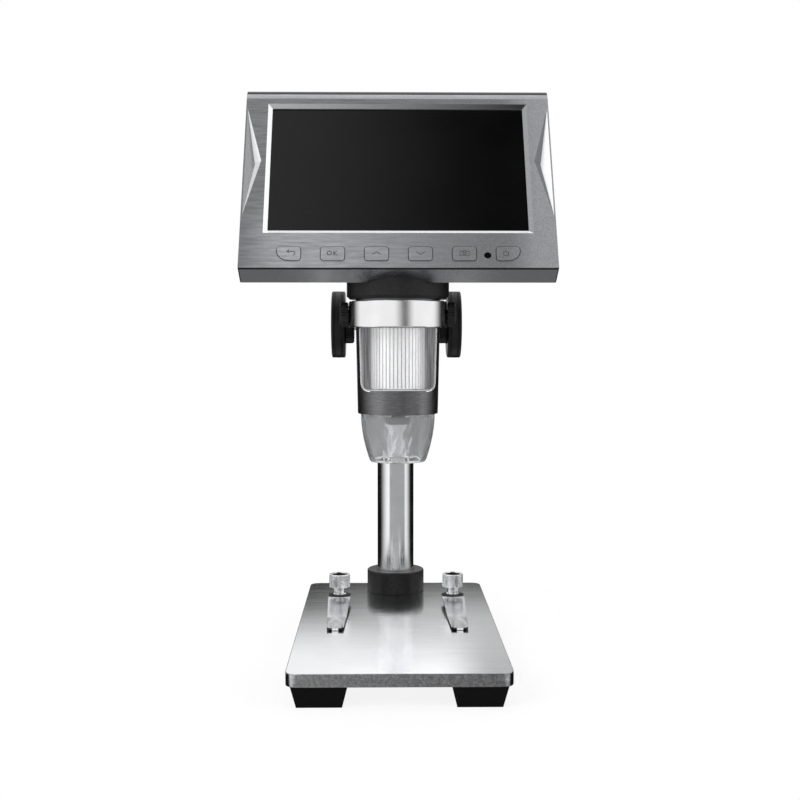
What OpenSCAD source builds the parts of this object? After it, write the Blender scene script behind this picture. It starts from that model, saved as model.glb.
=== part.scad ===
// Digital microscope with a tilted screen on a rack-focus stand.
// Millimetres, +Z up. The origin is on the table, under the middle of the base plate.
// +Y points from the front edge of the plate to the column, +X to the user's right.

/* [Base plate] */
// Width of the base plate
plate_w = 83; // [78:1:110]
// Depth of the base plate, front to back
plate_d = 162; // [150:1:190]
// Thickness of the base plate
plate_t = 5; // [4.5:0.5:8]
// Radius of the plate's corners
plate_r = 5; // [2:0.5:12]

/* [Feet] */
// Height of each rubber foot
foot_h = 8; // [6:0.5:14]
// Width of a foot where it meets the plate
foot_top = 20.6; // [16:0.2:26]
// Width of a foot on the table
foot_bottom = 16.7; // [12:0.1:22]
// Distance from the feet to the plate's side edges
foot_side_inset = 2; // [1:0.5:6]
// Distance from the feet to the plate's end edges
foot_end_inset = 0.5; // [0.5:0.5:6]

/* [Column] */
// Diameter of the column
column_d = 17.2; // [14:0.2:19]
// Height of the column above the plate
column_h = 164; // [160:1:220]
// Distance from the column's axis to the plate's rear edge
column_back = 16; // [15:0.5:20]
// Diameter of the collar at the column's foot
collar_d = 26.9; // [22:0.1:29]
// Height of the collar
collar_h = 10.3; // [6:0.1:16]

/* [Stage clips] */
// Distance between the two clip screws
clip_span = 51.6; // [46:0.2:60]
// Distance from the column's axis forward to the clip screws
clip_ahead = 28; // [26:0.5:36]
// Length of a clip from its screw to its tip
clip_reach = 56.7; // [50:0.1:62]
// Width of a clip at its screw
clip_w = 10.4; // [9:0.1:12]
// Width of a clip at its tip
clip_tip_w = 6.9; // [5:0.1:9]
// Thickness of the clip's spring plate
clip_t = 0.8; // [0.6:0.1:1.2]
// Height of the post that a clip sits on
clip_post_h = 2.65; // [2:0.05:5]
// Diameter of a thumb screw's head
thumb_d = 9.45; // [8:0.05:12]
// Height of a thumb screw's head
thumb_h = 6; // [4:0.1:9]
// Height of a thumb screw's neck
thumb_neck_h = 2.9; // [1.2:0.05:4]
// Diameter of a thumb screw's thread
thumb_thread_d = 3; // [2.5:0.1:4]

/* [Focus block] */
// Width of the focus block
block_w = 34; // [30:0.5:36]
// Height of the focus block
block_h = 32; // [26:1:34]
// Height of the pinion's axis above the plate
focus_height = 126.7; // [110:0.1:132]
// Height of the pinion's axis above the middle of the block
pinion_rise = 2.4; // [0:0.2:4]
// Distance from the column's axis forward to the pinion's axis
pinion_ahead = 29; // [26:0.5:34]
// Thickness of the block behind the column
block_back_wall = 4.4; // [3:0.1:8]
// Diameter of the lock knob
lock_knob_d = 15; // [12:0.5:20]
// Length of the lock knob
lock_knob_len = 8; // [6:0.5:14]

/* [Focus drive] */
// Diameter of a focus knob
knob_d = 29.8; // [24:0.2:29.8]
// Thickness of a focus knob, without its dome
knob_t = 6; // [4:0.1:8]
// Height of a focus knob's domed face
knob_dome = 0.4; // [0.2:0.1:2.5]
// Diameter of the hub on a knob's inner side
hub_d = 16.9; // [12:0.1:20]
// Length of the hub
hub_len = 3.9; // [2:0.1:6]
// Gap between the block and a hub
hub_gap = 1.9; // [0.8:0.1:3]
// Diameter of the pinion's shaft
shaft_d = 5; // [4:0.1:6]
// Number of teeth on the pinion
gear_teeth = 16; // [14:1:18]
// Module of the pinion and the rack
gear_module = 0.6; // [0.5:0.05:0.7]
// Width of the pinion's teeth
gear_w = 8; // [6:0.5:10]

/* [Slide and holder] */
// Distance from the column's axis to the tube's axis
holder_reach = 90; // [86:0.5:100]
// Length of the slide bar
slide_len = 44; // [40:1:46]
// Width of the slide bar's front face
slide_front_w = 13; // [11:0.5:16]
// Width of the slide bar's rear face
slide_rear_w = 18; // [16:0.5:22]
// Thickness of the slide bar
slide_t = 8.25; // [7:0.25:10]
// Outer diameter of the holder ring
ring_d = 39.2; // [37:0.2:42]
// Height of the holder ring
ring_h = 10.5; // [8:0.1:13]
// Height of the ring's middle above the pinion's axis
ring_rise = 3.25; // [2:0.05:5]
// Width of the arm
arm_w = 14; // [10:0.5:20]
// Height of the arm
arm_h = 8; // [6:0.2:9]
// Diameter of a ring screw's head
ring_screw_d = 9.8; // [7:0.1:12]
// Thickness of a ring screw's head
ring_screw_t = 3.4; // [2:0.1:6]

/* [Tube] */
// Diameter of the tube where the ring holds it
tube_d = 33.6; // [31:0.1:35]
// Diameter of the tube at its lower end
tube_low_d = 32.1; // [30:0.1:33]
// Gap between the holder ring and the neck
neck_gap = 0.7; // [0.3:0.05:2]
// Length of the tube below the neck
tube_len = 45.5; // [42:0.1:50]
// Wall thickness of the tube
tube_wall = 1.65; // [1.2:0.05:2]
// Width of the window at its top
window_w = 29.7; // [26:0.1:30]
// Width of the window at its bottom
window_low_w = 28.5; // [24:0.1:29]
// Height of the window's lower edge above the tube's end
window_sill = 9.6; // [8:0.1:12]
// Radius of the window's lower corners
window_r = 3.2; // [1:0.1:5]
// Diameter of the focus roller
roller_d = 21.8; // [19:0.2:23]
// Number of ribs on the focus roller
roller_ribs = 44; // [24:2:60]
// Length of the focus roller
roller_len = 26.6; // [24:0.1:27]
// Diameter of the lens barrel inside the roller
barrel_d = 16.8; // [14:0.1:17]
// Diameter of the lens barrel's nose
nose_d = 10; // [7:0.2:11]

/* [Shroud] */
// Diameter of the clear shroud at its top
shroud_d = 29.6; // [28:0.1:30]
// Diameter of the shroud at its mouth
shroud_mouth_d = 22.2; // [18:0.1:26]
// Length of the shroud below the tube
shroud_len = 19.3; // [14:0.1:24]
// Wall thickness of the shroud
shroud_wall = 1.4; // [1:0.1:2]
// Number of lamps in the shroud
led_count = 8; // [4:1:8]

/* [Screen housing] */
// Width of the housing
case_w = 122; // [118:1:140]
// Height of the sloping front face
face_h = 81.6; // [80:0.2:95]
// Angle that the face leans back from upright
tilt = 26.7; // [18:0.1:32]
// Thickness of the front bezel
bezel_t = 9.7; // [8.8:0.1:12]
// Wall thickness of the bezel
bezel_wall = 1.6; // [1.4:0.1:2.2]
// Amount that the bezel's underside drops towards the back
bezel_flare = 0.83; // [0:0.01:1.5]
// Radius of the rounding along the housing's top
top_round = 7; // [5:0.5:8]
// Distance that the rounding reaches down over the face's upper edge
top_reach = 2.5; // [1:0.1:4]
// Distance from the tube's axis forward to the face's lower edge
face_ahead = 25.1; // [23:0.1:27]
// Height of the face's lower edge above the holder ring
face_rise = 11.5; // [10.5:0.1:16]
// Diameter of the round neck
neck_d = 40.9; // [38:0.1:44]
// Length of the side notches
notch_len = 50.2; // [30:0.2:54]
// Distance from the face's upper edge down to the notches' middle
notch_down = 32.6; // [28:0.1:40]
// Width of the side notches on the face
notch_w = 6.4; // [3:0.1:6.6]
// Depth of the side notches
notch_depth = 2.5; // [1:0.1:3.5]

/* [Screen] */
// Width of the frame at each side of the visible screen
screen_side = 10.55; // [9:0.05:13]
// Height of the frame above the visible screen
screen_top = 6.7; // [6.5:0.1:9]
// Height of the visible screen above the face's lower edge
screen_up = 17.5; // [16.5:0.1:20]
// Width of the bevel around the screen
screen_bevel = 1.65; // [0.8:0.05:2]
// Depth of the bevel around the screen
screen_bevel_depth = 1.1; // [0.6:0.1:1.3]
// Width of the panel's border at each side of the visible screen
panel_side = 2.3; // [1:0.1:2.6]
// Height of the panel's border below the visible screen
panel_below = 5; // [3:0.1:5]
// Height of the panel's border above the visible screen
panel_above = 4.8; // [2:0.1:4.8]
// Thickness of the screen panel
panel_t = 3; // [2.5:0.1:3.5]

/* [Buttons] */
// Distance from the housing's side to the middle of the outer button
button_margin = 19.125; // [17:0.125:22]
// Width of a button
button_w = 9.05; // [7:0.05:11]
// Height of a button
button_h = 6; // [4.5:0.1:7]
// Height of the buttons' middle above the face's lower edge
button_up = 6.57; // [6.2:0.01:7.5]
// Height that a button stands out of the face
button_out = 0.4; // [0.2:0.1:0.8]
// Distance that a button travels
button_travel = 0.5; // [0.3:0.1:0.6]
// Diameter of the indicator lens
indicator_d = 2.8; // [2:0.1:4]
// Distance from the last button's middle to the indicator lens
indicator_back = 7.875; // [7.5:0.025:8.5]
// Distance that the indicator lens lies below the buttons' middle
indicator_drop = 0.6; // [0:0.1:1]

/* [Rear cover] */
// Distance from the bezel's side to the side of the rear cover's housing
bulge_side = 13; // [9:0.5:16]
// Distance that the rear cover reaches behind the bezel's upper edge
bulge_back = 4.8; // [4:0.1:8]
// Height of the rear cover's underside above the bezel's lowest edge
cover_rise = 2.4; // [2:0.1:4]
// Wall thickness of the rear cover
cover_wall = 2; // [1.6:0.1:2.6]
// Diameter of the battery cell
battery_d = 18.3; // [14:0.1:18.5]
// Length of the battery cell
battery_len = 65; // [50:1:68]
// Diameter of the lamp dimmer wheel
dimmer_d = 12; // [10:0.2:14]
// Distance that the dimmer wheel stands out of the cover
dimmer_out = 1.5; // [0.8:0.1:2.5]

/* [Hidden] */
$fn = 64;

running = 0.08;      // radial clearance of a turning or sliding fit
seat = 0.3;          // gap between pieces that rest on each other and move apart
gap = 0.15;          // gap round a button and under a clip
eps = 0.5;           // overshoot of a cut
side_names = [-1, 1];

// Base
plate_top = foot_h + plate_t;
foot_x = plate_w / 2 - foot_side_inset - foot_top / 2;
foot_y = plate_d / 2 - foot_end_inset - foot_top / 2;
foot_screw_r = 1.5;
foot_screw_head_r = 3;
foot_screw_head_h = 2.4;
foot_recess = 2;
foot_screw_bite = plate_t - 1.5;
column_y = plate_d / 2 - column_back;
column_chamfer = 1;
collar_chamfer = 0.8;
column_screw_r = 3;
column_screw_head_r = 5;
column_screw_head_h = 2.6;
column_screw_bite = 18;

// Stage clips
clip_x = clip_span / 2;
clip_y = column_y - clip_ahead;
clip_post_r = 4;
clip_pad = 5.5;
clip_bend = 0.54 * clip_reach;
clip_rest = 0.2;
clip_tip_lift = 1.4;
clip_lift_y = 0.8 * clip_reach;
clip_lift_share = 0.35;
clip_tip_r = 1;
clip_bead_w = 5.4;
clip_groove_w = 3.4;
clip_bead_end = 0.7;
clip_bottom = clip_post_h + gap;
thumb_r = thumb_thread_d / 2;
thumb_base_r = 3;
thumb_neck_r = 2;
thumb_base_h = 0.5;
thumb_cup_r = thumb_d / 2 - 1;
thumb_cup_depth = 2.6;
thumb_knurls = 32;
thumb_bite = plate_t - 1.5;

// Focus block and drive
pinion_y = column_y - pinion_ahead;
pinion_z = plate_top + focus_height;
block_z = pinion_z - pinion_rise;
block_low = block_z - block_h / 2;
gear_r = gear_module * gear_teeth / 2;
rack_y = pinion_y - gear_r;
rack_add = 0.8 * gear_module;
gear_add = 0.9 * gear_module;
tooth_root = 1.2 * gear_module;
tooth_play = 0.12;
rack_base = 1.2;
rack_back = rack_y - tooth_root - rack_base;
slide_back = rack_back;
slide_front = slide_back - slide_t;
slide_gap = 0.1;
block_front = slide_front + 0.5;
block_r = 2.5;
block_shoulder = 12;
bush_r = shaft_d / 2 + 1.6;
bush_flange_r = bush_r + 1.5;
bush_flange_t = 0.6;
gear_room = gear_w / 2 + 0.6;
gear_clear_r = gear_r + 1.6;
hub_in = block_w / 2 + hub_gap;
knob_in = hub_in + hub_len;
knob_edge = 0.7;
knob_out = knob_in + knob_t;
knob_chamfer = 0.8;
lock_r = 2.5;
block_back = column_y + column_d / 2 + block_back_wall;
lock_head_y = block_back + 1;
rack_w = gear_w - 0.6;
slide_low = pinion_z - slide_len / 2;

// Holder
tube_y = column_y - holder_reach;
ring_z = pinion_z + ring_rise;
ring_low = ring_z - ring_h / 2;
ring_top = ring_z + ring_h / 2;
ring_bore_r = tube_d / 2 + running;
ring_edge = 0.4;
flange_w = arm_w + 2;
flange_t = 3;
flange_h = 24;
arm_screw_r = 1.5;
arm_screw_head_r = 2.75;
arm_screw_head_h = 2.5;
arm_screw_rise = flange_h / 2 - 3.6;
arm_screw_bite = 5;
arm_socket_r = 1.3;
arm_socket_depth = 1.4;
ring_screw_r = 2;
ring_screw_tip = tube_d / 2 + seat;
ring_screw_in = ring_d / 2 + 0.2;
ring_knurls = 28;

// Tube
neck_low = ring_top + neck_gap;
tube_low = neck_low - tube_len;
tube_grip = neck_gap + ring_h + 0.6;
tube_bore_r = tube_d / 2 - tube_wall;
sill_z = tube_low + window_sill;
window_top = ring_low - 1.5;
web_low = tube_low + 3.1;
shroud_seat_r = tube_low_d / 2 - 1.4;
roller_low = sill_z + seat;
roller_top = roller_low + roller_len;
roller_rib = 0.45;
retainer_low = roller_top + seat;
retainer_t = 2;
retainer_bore_r = 9;
sensor_low = retainer_low + retainer_t + 1.3;
sensor_t = 1.4;
sensor_chip = 8;
sensor_chip_t = 1.3;
barrel_low = sill_z - 2.5;
barrel_top = roller_top - 6;
nose_low = tube_low - 4.4;
lens_r = nose_d / 2 - 1.8;
led_board_top = web_low - 0.2;
led_board_t = 1.2;
led_board_r = shroud_seat_r - shroud_wall - 0.25;
led_board_bore_r = nose_d / 2 + 1.2;
led_r = 1.5;
led_h = 2.7;
led_ring_r = (led_board_r + led_board_bore_r) / 2;
tube_edge = 0.4;

// Screen housing. A point on the face is (x, height up the face, distance in front of it).
face_y = tube_y - face_ahead;
face_z = ring_top + face_rise;
function world_y(up, out) = face_y + up * sin(tilt) - out * cos(tilt);
function world_z(up, out) = face_z + up * cos(tilt) + out * sin(tilt);
floor_z = world_z(-bezel_flare, -bezel_t);
floor_front_y = world_y(-bezel_flare, -bezel_t);
cover_floor_z = floor_z + cover_rise;
back_y = world_y(face_h, -bezel_t) + bulge_back;
round_up = face_h - top_reach;
case_top_up = round_up + top_round;
round_steps = 9;
corner_r = 1.8;
notch_edge = 0.6;
neck_chamfer = 1.2;
neck_spigot = 2.4;
neck_bore_r = 9;
neck_screw_ring_r = 15;
neck_screw_r = 1.25;
neck_screw_head_r = 2.4;
neck_screw_head_h = 1.6;
neck_screw_bite = 4.5;
screen_w = case_w - 2 * screen_side;
screen_h = face_h - screen_up - screen_top;
panel_w = screen_w + 2 * panel_side;
panel_h = screen_h + panel_below + panel_above;
panel_up = screen_up - panel_below;
panel_out = -bezel_wall - 0.05;
notch_up = face_h - notch_down;
cavity_w = panel_w + 1;
cavity_low = 1.8;
cavity_high = panel_up + panel_h + 0.2;
bulge_w = case_w - 2 * bulge_side;
cover_t = 2;
cover_edge = 1.5;
cover_out = -bezel_t - cover_t;
cover_floor_up = cover_rise / cos(tilt) - bezel_flare + cover_t * tan(tilt);
shoulder_up = face_h - 25.6;
bulge_round = 5;
bulge_corner = 8;
wedge_ahead = 30;
bulge_top_up = face_h - 5;
void_w = bulge_w - 2 * cover_wall;
void_low_up = cover_edge + 6;
void_top_up = bulge_top_up - 4;
cover_screw_x = case_w / 2 - 3.9;
cover_screw_ups = [8, face_h - 8.6];
cover_screw_r = 1.1;
cover_screw_head_r = 2.2;
cover_screw_head_h = 1.4;
cover_screw_bite = 5;

// Electronics
board_out = -bezel_t - 4;
board_t = 1.6;
board_back = board_out - board_t;
board_w = bulge_w - 2 * cover_wall - 1;
board_low = 12;
board_high = face_h - 13.6;
board_pad = 6;
board_pad_h = 8;
board_pad_depth = 6;
board_screw_x = board_w / 2 - board_pad / 2;
board_pad_in = board_screw_x - board_pad / 2;
board_screw_ups = [board_low + 4, board_high - 4];
chip_t = 1;
// Each chip: its left edge, its height above the board's lower edge, its width and its height
chips = [[-14, 20, 14, 14], [8, 8, 8, 6], [-34, 28, 10, 8]];
cradle_t = 2;
cradle_x = battery_len / 2 - 10;
battery_y = back_y - cover_wall - cradle_t - battery_d / 2;
battery_z = cover_floor_z + cover_wall + cradle_t + battery_d / 2;
socket_x = bulge_w / 2 - cover_wall - 0.3;
card_up = board_high - 15.5;
usb_up = card_up - 12.5;
usb_w = 7.8;
usb_t = 2.7;
usb_depth = 5.6;
card_w = 12.4;
card_t = 1.9;
card_depth = 13;
socket_play = 0.3;
dimmer_up = board_low + 15.5;
dimmer_x = bulge_w / 2 + dimmer_out - dimmer_d / 2;
dimmer_t = 2;
dimmer_hub_r = 2;
dimmer_out_z = board_back - 0.8 - dimmer_t;
dimmer_knurls = 30;
button_pitch = (case_w - 2 * button_margin) / 5;
button_names_x = [for (i = [0:5]) (i - 2.5) * button_pitch];
indicator_x = button_names_x[5] - indicator_back;
button_r = 1.3;
button_big_r = 4.6;
button_flange = 0.9;
button_flange_t = 0.8;
button_flange_out = -bezel_wall - gap;
button_stem_r = 1.5;
button_stem_out = -3.4;
switch_gap = button_travel + 0.1;
switch_top_out = button_stem_out - switch_gap;
switch_size = 4.5;
switch_h = 1.2;
key_board_out = switch_top_out - switch_h;
key_board_t = 1;
key_board_low = cavity_low + 0.2;
key_board_high = panel_up - 0.4;
key_board_side = 7;
key_board_w = 5 * button_pitch + 2 * key_board_side;
cable_w = 8;
cable_t = 0.4;
cable_y = tube_y - 2;
screen_cable_w = 20;
screen_cable_up = board_low + 8;

steel = [0.72, 0.73, 0.74];
chrome = [0.86, 0.87, 0.88];
black = [0.07, 0.07, 0.08];
rubber = [0.12, 0.13, 0.13];
gunmetal = [0.22, 0.22, 0.24];
silver_grey = [0.5, 0.51, 0.53];
dark_grey = [0.35, 0.36, 0.38];
brass = [0.78, 0.62, 0.3];
board_green = [0.08, 0.3, 0.16];
glass = [0.85, 0.9, 0.95];

// Extrudes a shape drawn in (y, z) along X, centred
module along_x(width) {
    translate([-width / 2, 0, 0]) rotate([90, 0, 90]) linear_extrude(width) children();
}

// A square with rounded corners, centred
module rounded_rect(w, h, r) {
    hull() for (x = side_names, y = side_names)
        translate([x * (w / 2 - r), y * (h / 2 - r)]) circle(r);
}

// A cylinder along +X that starts at x
module rod_x(x, y, z, r, len) {
    translate([x, y, z]) rotate([0, 90, 0]) cylinder(r = r, h = len);
}

// A cylinder along +Y that starts at y
module rod_y(x, y, z, r, len) {
    translate([x, y, z]) rotate([-90, 0, 0]) cylinder(r = r, h = len);
}

// A straight-knurled disc
module knurled(r, h, count, depth) {
    points = [for (i = [0:2 * count - 1])
        let (a = 180 * i / count, k = i % 2 == 0 ? r : r - depth) [k * cos(a), k * sin(a)]];
    linear_extrude(h) polygon(points);
}

// Places a child drawn on the face: X across, Y up the face, Z out of it
module on_face() {
    translate([0, face_y, face_z]) rotate([90 - tilt, 0, 0]) children();
}

module each_foot() {
    for (x = side_names, y = side_names) translate([x * foot_x, y * foot_y, 0]) children();
}

module each_side() {
    for (s = side_names) scale([s, 1, 1]) children();
}

// ---- Base ----

module base_plate() {
    color(steel) difference() {
        translate([0, 0, foot_h]) linear_extrude(plate_t) rounded_rect(plate_w, plate_d, plate_r);
        each_foot() translate([0, 0, foot_h - eps])
            cylinder(r = foot_screw_r + running, h = foot_screw_bite + eps);
        translate([0, column_y, foot_h - eps]) cylinder(r = column_screw_r + running, h = plate_t + 1);
        translate([0, column_y, foot_h - eps])
            cylinder(r = column_screw_head_r + gap, h = column_screw_head_h + gap + eps);
        for (x = side_names) translate([x * clip_x, clip_y, plate_top - thumb_bite - gap])
            cylinder(r = thumb_r + running, h = thumb_bite + 1);
    }
}

module foot() {
    difference() {
        linear_extrude(foot_h, scale = foot_top / foot_bottom) square(foot_bottom, center = true);
        translate([0, 0, -eps]) cylinder(r = foot_screw_r + running, h = foot_h + 1);
        translate([0, 0, -eps])
            cylinder(r = foot_screw_head_r + gap, h = foot_recess + foot_screw_head_h + eps);
    }
}

module feet() {
    color(rubber) each_foot() foot();
}

module foot_screws() {
    color(steel) each_foot() {
        translate([0, 0, foot_recess]) cylinder(r = foot_screw_head_r, h = foot_screw_head_h);
        translate([0, 0, foot_recess])
            cylinder(r = foot_screw_r, h = foot_h - foot_recess + foot_screw_bite - gap);
    }
}

module column() {
    r = column_d / 2;
    color(chrome) difference() {
        translate([0, column_y, plate_top]) {
            cylinder(r = r, h = column_h - column_chamfer);
            translate([0, 0, column_h - column_chamfer])
                cylinder(r1 = r, r2 = r - column_chamfer, h = column_chamfer);
        }
        translate([0, column_y, plate_top - eps])
            cylinder(r = column_screw_r + running, h = column_screw_bite + 1);
    }
}

module column_collar() {
    r = collar_d / 2;
    color(black) difference() {
        translate([0, column_y, plate_top]) {
            cylinder(r = r, h = collar_h - collar_chamfer);
            translate([0, 0, collar_h - collar_chamfer])
                cylinder(r1 = r, r2 = r - collar_chamfer, h = collar_chamfer);
        }
        translate([0, column_y, plate_top - eps]) cylinder(r = column_d / 2, h = collar_h + 1);
    }
}

module column_screw() {
    color(steel) translate([0, column_y, foot_h + gap]) {
        cylinder(r = column_screw_head_r, h = column_screw_head_h);
        cylinder(r = column_screw_r, h = plate_t - gap + column_screw_bite);
    }
}

module clip_posts() {
    color(steel) for (x = side_names) translate([x * clip_x, clip_y, plate_top]) difference() {
        cylinder(r = clip_post_r, h = clip_post_h);
        translate([0, 0, -eps]) cylinder(r = thumb_r + running, h = clip_post_h + 1);
    }
}

// ---- Stage clips ----

// The clip's plate seen from the side: a flat pad, a slope and a tip that lifts again
module clip_side() {
    line = [[clip_w / 2 + 1, clip_bottom], [-clip_pad, clip_bottom], [-clip_bend, clip_rest],
        [-clip_lift_y, clip_rest + clip_lift_share * clip_tip_lift], [-clip_reach - 1, clip_tip_lift]];
    top = [for (i = [len(line) - 1:-1:0]) line[i] + [0, clip_t]];
    polygon(concat(line, top));
}

module clip_plan() {
    r = clip_tip_r;
    hull() {
        circle(clip_w / 2);
        for (x = side_names) translate([x * (clip_tip_w / 2 - r), r - clip_reach]) circle(r);
    }
}

// The rib that is pressed down along the middle of the tip, seen from the side
module clip_rib() {
    polygon([
        [-clip_bend, clip_rest], [-clip_bend, clip_rest + 0.1],
        [-clip_lift_y, clip_rest + clip_lift_share * clip_tip_lift + 0.1],
        [clip_bead_end - clip_reach, clip_tip_lift + 0.1], [clip_bead_end - clip_reach, clip_rest]
    ]);
}

module clip(x) {
    color(chrome) translate([x * clip_x, clip_y, plate_top]) difference() {
        union() {
            intersection() {
                linear_extrude(clip_bottom + clip_t + 1) clip_plan();
                along_x(clip_w + 2) clip_side();
            }
            along_x(clip_bead_w) clip_rib();
        }
        translate([-clip_groove_w / 2, clip_bead_end - clip_reach + clip_t, clip_rest + clip_t])
            cube([clip_groove_w, clip_reach - clip_bend - clip_bead_end - clip_t, clip_tip_lift + clip_t]);
        translate([0, 0, -eps]) cylinder(r = thumb_r + running, h = clip_bottom + clip_t + 1);
    }
}

module thumb_screw(x) {
    low = clip_bottom + clip_t + gap;
    neck_top = low + thumb_base_h + thumb_neck_h;
    color(chrome) translate([x * clip_x, clip_y, plate_top]) difference() {
        union() {
            translate([0, 0, -thumb_bite]) cylinder(r = thumb_r, h = thumb_bite + low + 1);
            translate([0, 0, low]) cylinder(r = thumb_base_r, h = thumb_base_h);
            translate([0, 0, low + thumb_base_h])
                cylinder(r1 = thumb_base_r, r2 = thumb_neck_r, h = thumb_neck_h);
            translate([0, 0, neck_top]) knurled(thumb_d / 2, thumb_h, thumb_knurls, 0.25);
        }
        translate([0, 0, neck_top + thumb_h - thumb_cup_depth])
            cylinder(r1 = thumb_cup_r - 1, r2 = thumb_cup_r, h = thumb_cup_depth + 0.01);
    }
}

// ---- Focus block, which slides on the column ----

module slide_shape(grow) {
    offset(delta = grow) polygon([
        [-slide_front_w / 2, slide_front], [slide_front_w / 2, slide_front],
        [slide_rear_w / 2, slide_back], [-slide_rear_w / 2, slide_back]
    ]);
}

module block_plan() {
    r = block_r;
    hull() {
        for (x = side_names) translate([x * (block_w / 2 - r), block_front + r]) circle(r);
        for (x = side_names) translate([x * (block_w / 2 - r), pinion_y + block_shoulder]) circle(r);
        translate([0, column_y]) circle(column_d / 2 + block_back_wall);
    }
}

module focus_block() {
    color(black) translate([0, 0, block_low]) difference() {
        linear_extrude(block_h) block_plan();
        translate([0, column_y, -eps]) cylinder(r = column_d / 2 + running, h = block_h + 1);
        translate([0, 0, -eps]) linear_extrude(block_h + 1) slide_shape(slide_gap);
        translate([-rack_w / 2 - 0.4, slide_back - eps, -eps])
            cube([rack_w + 0.8, gear_r + 1, block_h + 1]);
        rod_x(-gear_room, pinion_y, pinion_z - block_low, gear_clear_r, 2 * gear_room);
        rod_x(-block_w, pinion_y, pinion_z - block_low, bush_r, 2 * block_w);
        rod_y(0, column_y, block_h / 2, lock_r + running, column_d);
    }
}

module pinion_bushes() {
    color(brass) each_side() difference() {
        union() {
            rod_x(gear_room, pinion_y, pinion_z, bush_r, block_w / 2 - gear_room);
            rod_x(block_w / 2, pinion_y, pinion_z, bush_flange_r, bush_flange_t);
        }
        rod_x(gear_room - eps, pinion_y, pinion_z, shaft_d / 2 + running, block_w / 2);
    }
}

module lock_knob() {
    tip = column_y + column_d / 2 + seat;
    color(black) {
        rod_y(0, tip, block_z, lock_r, lock_head_y - tip + 1);
        translate([0, lock_head_y, block_z]) rotate([-90, 0, 0]) {
            cylinder(r1 = lock_knob_d / 2 - 2, r2 = lock_knob_d / 2 - 0.6, h = 1.5);
            translate([0, 0, 1.5]) knurled(lock_knob_d / 2, lock_knob_len - 2.5, 24, 0.5);
            translate([0, 0, lock_knob_len - 1])
                cylinder(r1 = lock_knob_d / 2 - 0.6, r2 = lock_knob_d / 2 - 1.8, h = 1);
        }
    }
}

// ---- Pinion ----

module pinion_shaft() {
    color(steel) rod_x(-knob_out + 1.5, pinion_y, pinion_z, shaft_d / 2, 2 * (knob_out - 1.5));
}

// A point of the involute of a circle with radius r, unrolled by the angle a
function involute(r, a) = let (k = a * PI / 180) [r * (cos(a) + k * sin(a)), r * (sin(a) - k * cos(a))];
function turned(p, a) = [p.x * cos(a) - p.y * sin(a), p.x * sin(a) + p.y * cos(a)];

pressure = 20;
gear_base_r = gear_r * cos(pressure);
gear_tip_r = gear_r + gear_add;
gear_root_r = gear_r - tooth_root;
tip_roll = sqrt(pow(gear_tip_r / gear_base_r, 2) - 1) * 180 / PI;
pitch_lead = tan(pressure) * 180 / PI - pressure;
half_tooth = 90 / gear_teeth - tooth_play / gear_r * 90 / PI + pitch_lead;
flank_steps = 4;
flank = [for (i = [0:flank_steps]) turned(involute(gear_base_r, tip_roll * i / flank_steps), -half_tooth)];
tooth_points = concat(
    [turned([gear_root_r, 0], -half_tooth)], flank,
    [for (i = [flank_steps:-1:0]) [flank[i].x, -flank[i].y]],
    [turned([gear_root_r, 0], half_tooth)]
);
gear_points = [for (n = [0:gear_teeth - 1], p = tooth_points) turned(p, 360 * (n + 0.5) / gear_teeth)];

module pinion_gear() {
    color(brass) difference() {
        translate([-gear_w / 2, pinion_y, pinion_z]) rotate([90, 0, 90]) linear_extrude(gear_w)
            rotate(180) polygon(gear_points);
        rod_x(-gear_w, pinion_y, pinion_z, shaft_d / 2, 2 * gear_w);
    }
}

module knob() {
    r = knob_d / 2;
    outline = [
        [0, 0], [hub_d / 2 - 0.6, 0], [hub_d / 2, 0.6], [hub_d / 2, hub_len],
        [r - knob_chamfer, hub_len], [r, hub_len + knob_chamfer], [r, hub_len + knob_t - knob_edge],
        [r - knob_edge, hub_len + knob_t],
        for (i = [1:5]) let (k = 1 - i / 5) [(r - knob_edge) * k, hub_len + knob_t + knob_dome * (1 - k * k)]
    ];
    color(black) difference() {
        translate([hub_in, pinion_y, pinion_z]) rotate([0, 90, 0]) rotate_extrude($fn = 96) polygon(outline);
        rod_x(hub_in - eps, pinion_y, pinion_z, shaft_d / 2, knob_out - 1.5 - hub_in + eps);
    }
}

module focus_knob_left() {
    mirror([1, 0, 0]) knob();
}

module focus_knob_right() {
    knob();
}

// ---- Slide and holder ----

module slide_bar() {
    color(gunmetal) difference() {
        translate([0, 0, slide_low]) linear_extrude(slide_len) slide_shape(0);
        for (s = side_names) rod_y(0, slide_front - eps, ring_z + s * arm_screw_rise, arm_screw_r,
            arm_screw_bite + 2 * eps);
    }
}

module focus_rack() {
    pitch = PI * gear_module;
    count = floor(slide_len / 2 / pitch) - 1;
    half_root = pitch / 4 - tooth_play / 4 + tooth_root * tan(pressure);
    half_tip = pitch / 4 - tooth_play / 4 - rack_add * tan(pressure);
    root = rack_y - tooth_root;
    color(brass) along_x(rack_w) {
        translate([rack_back, slide_low + 1]) square([rack_base, slide_len - 2]);
        for (i = [-count:count]) translate([0, pinion_z + i * pitch]) polygon([
            [root - 0.1, -half_root], [root, -half_root], [rack_y + rack_add, -half_tip],
            [rack_y + rack_add, half_tip], [root, half_root], [root - 0.1, half_root]
        ]);
    }
}

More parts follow.
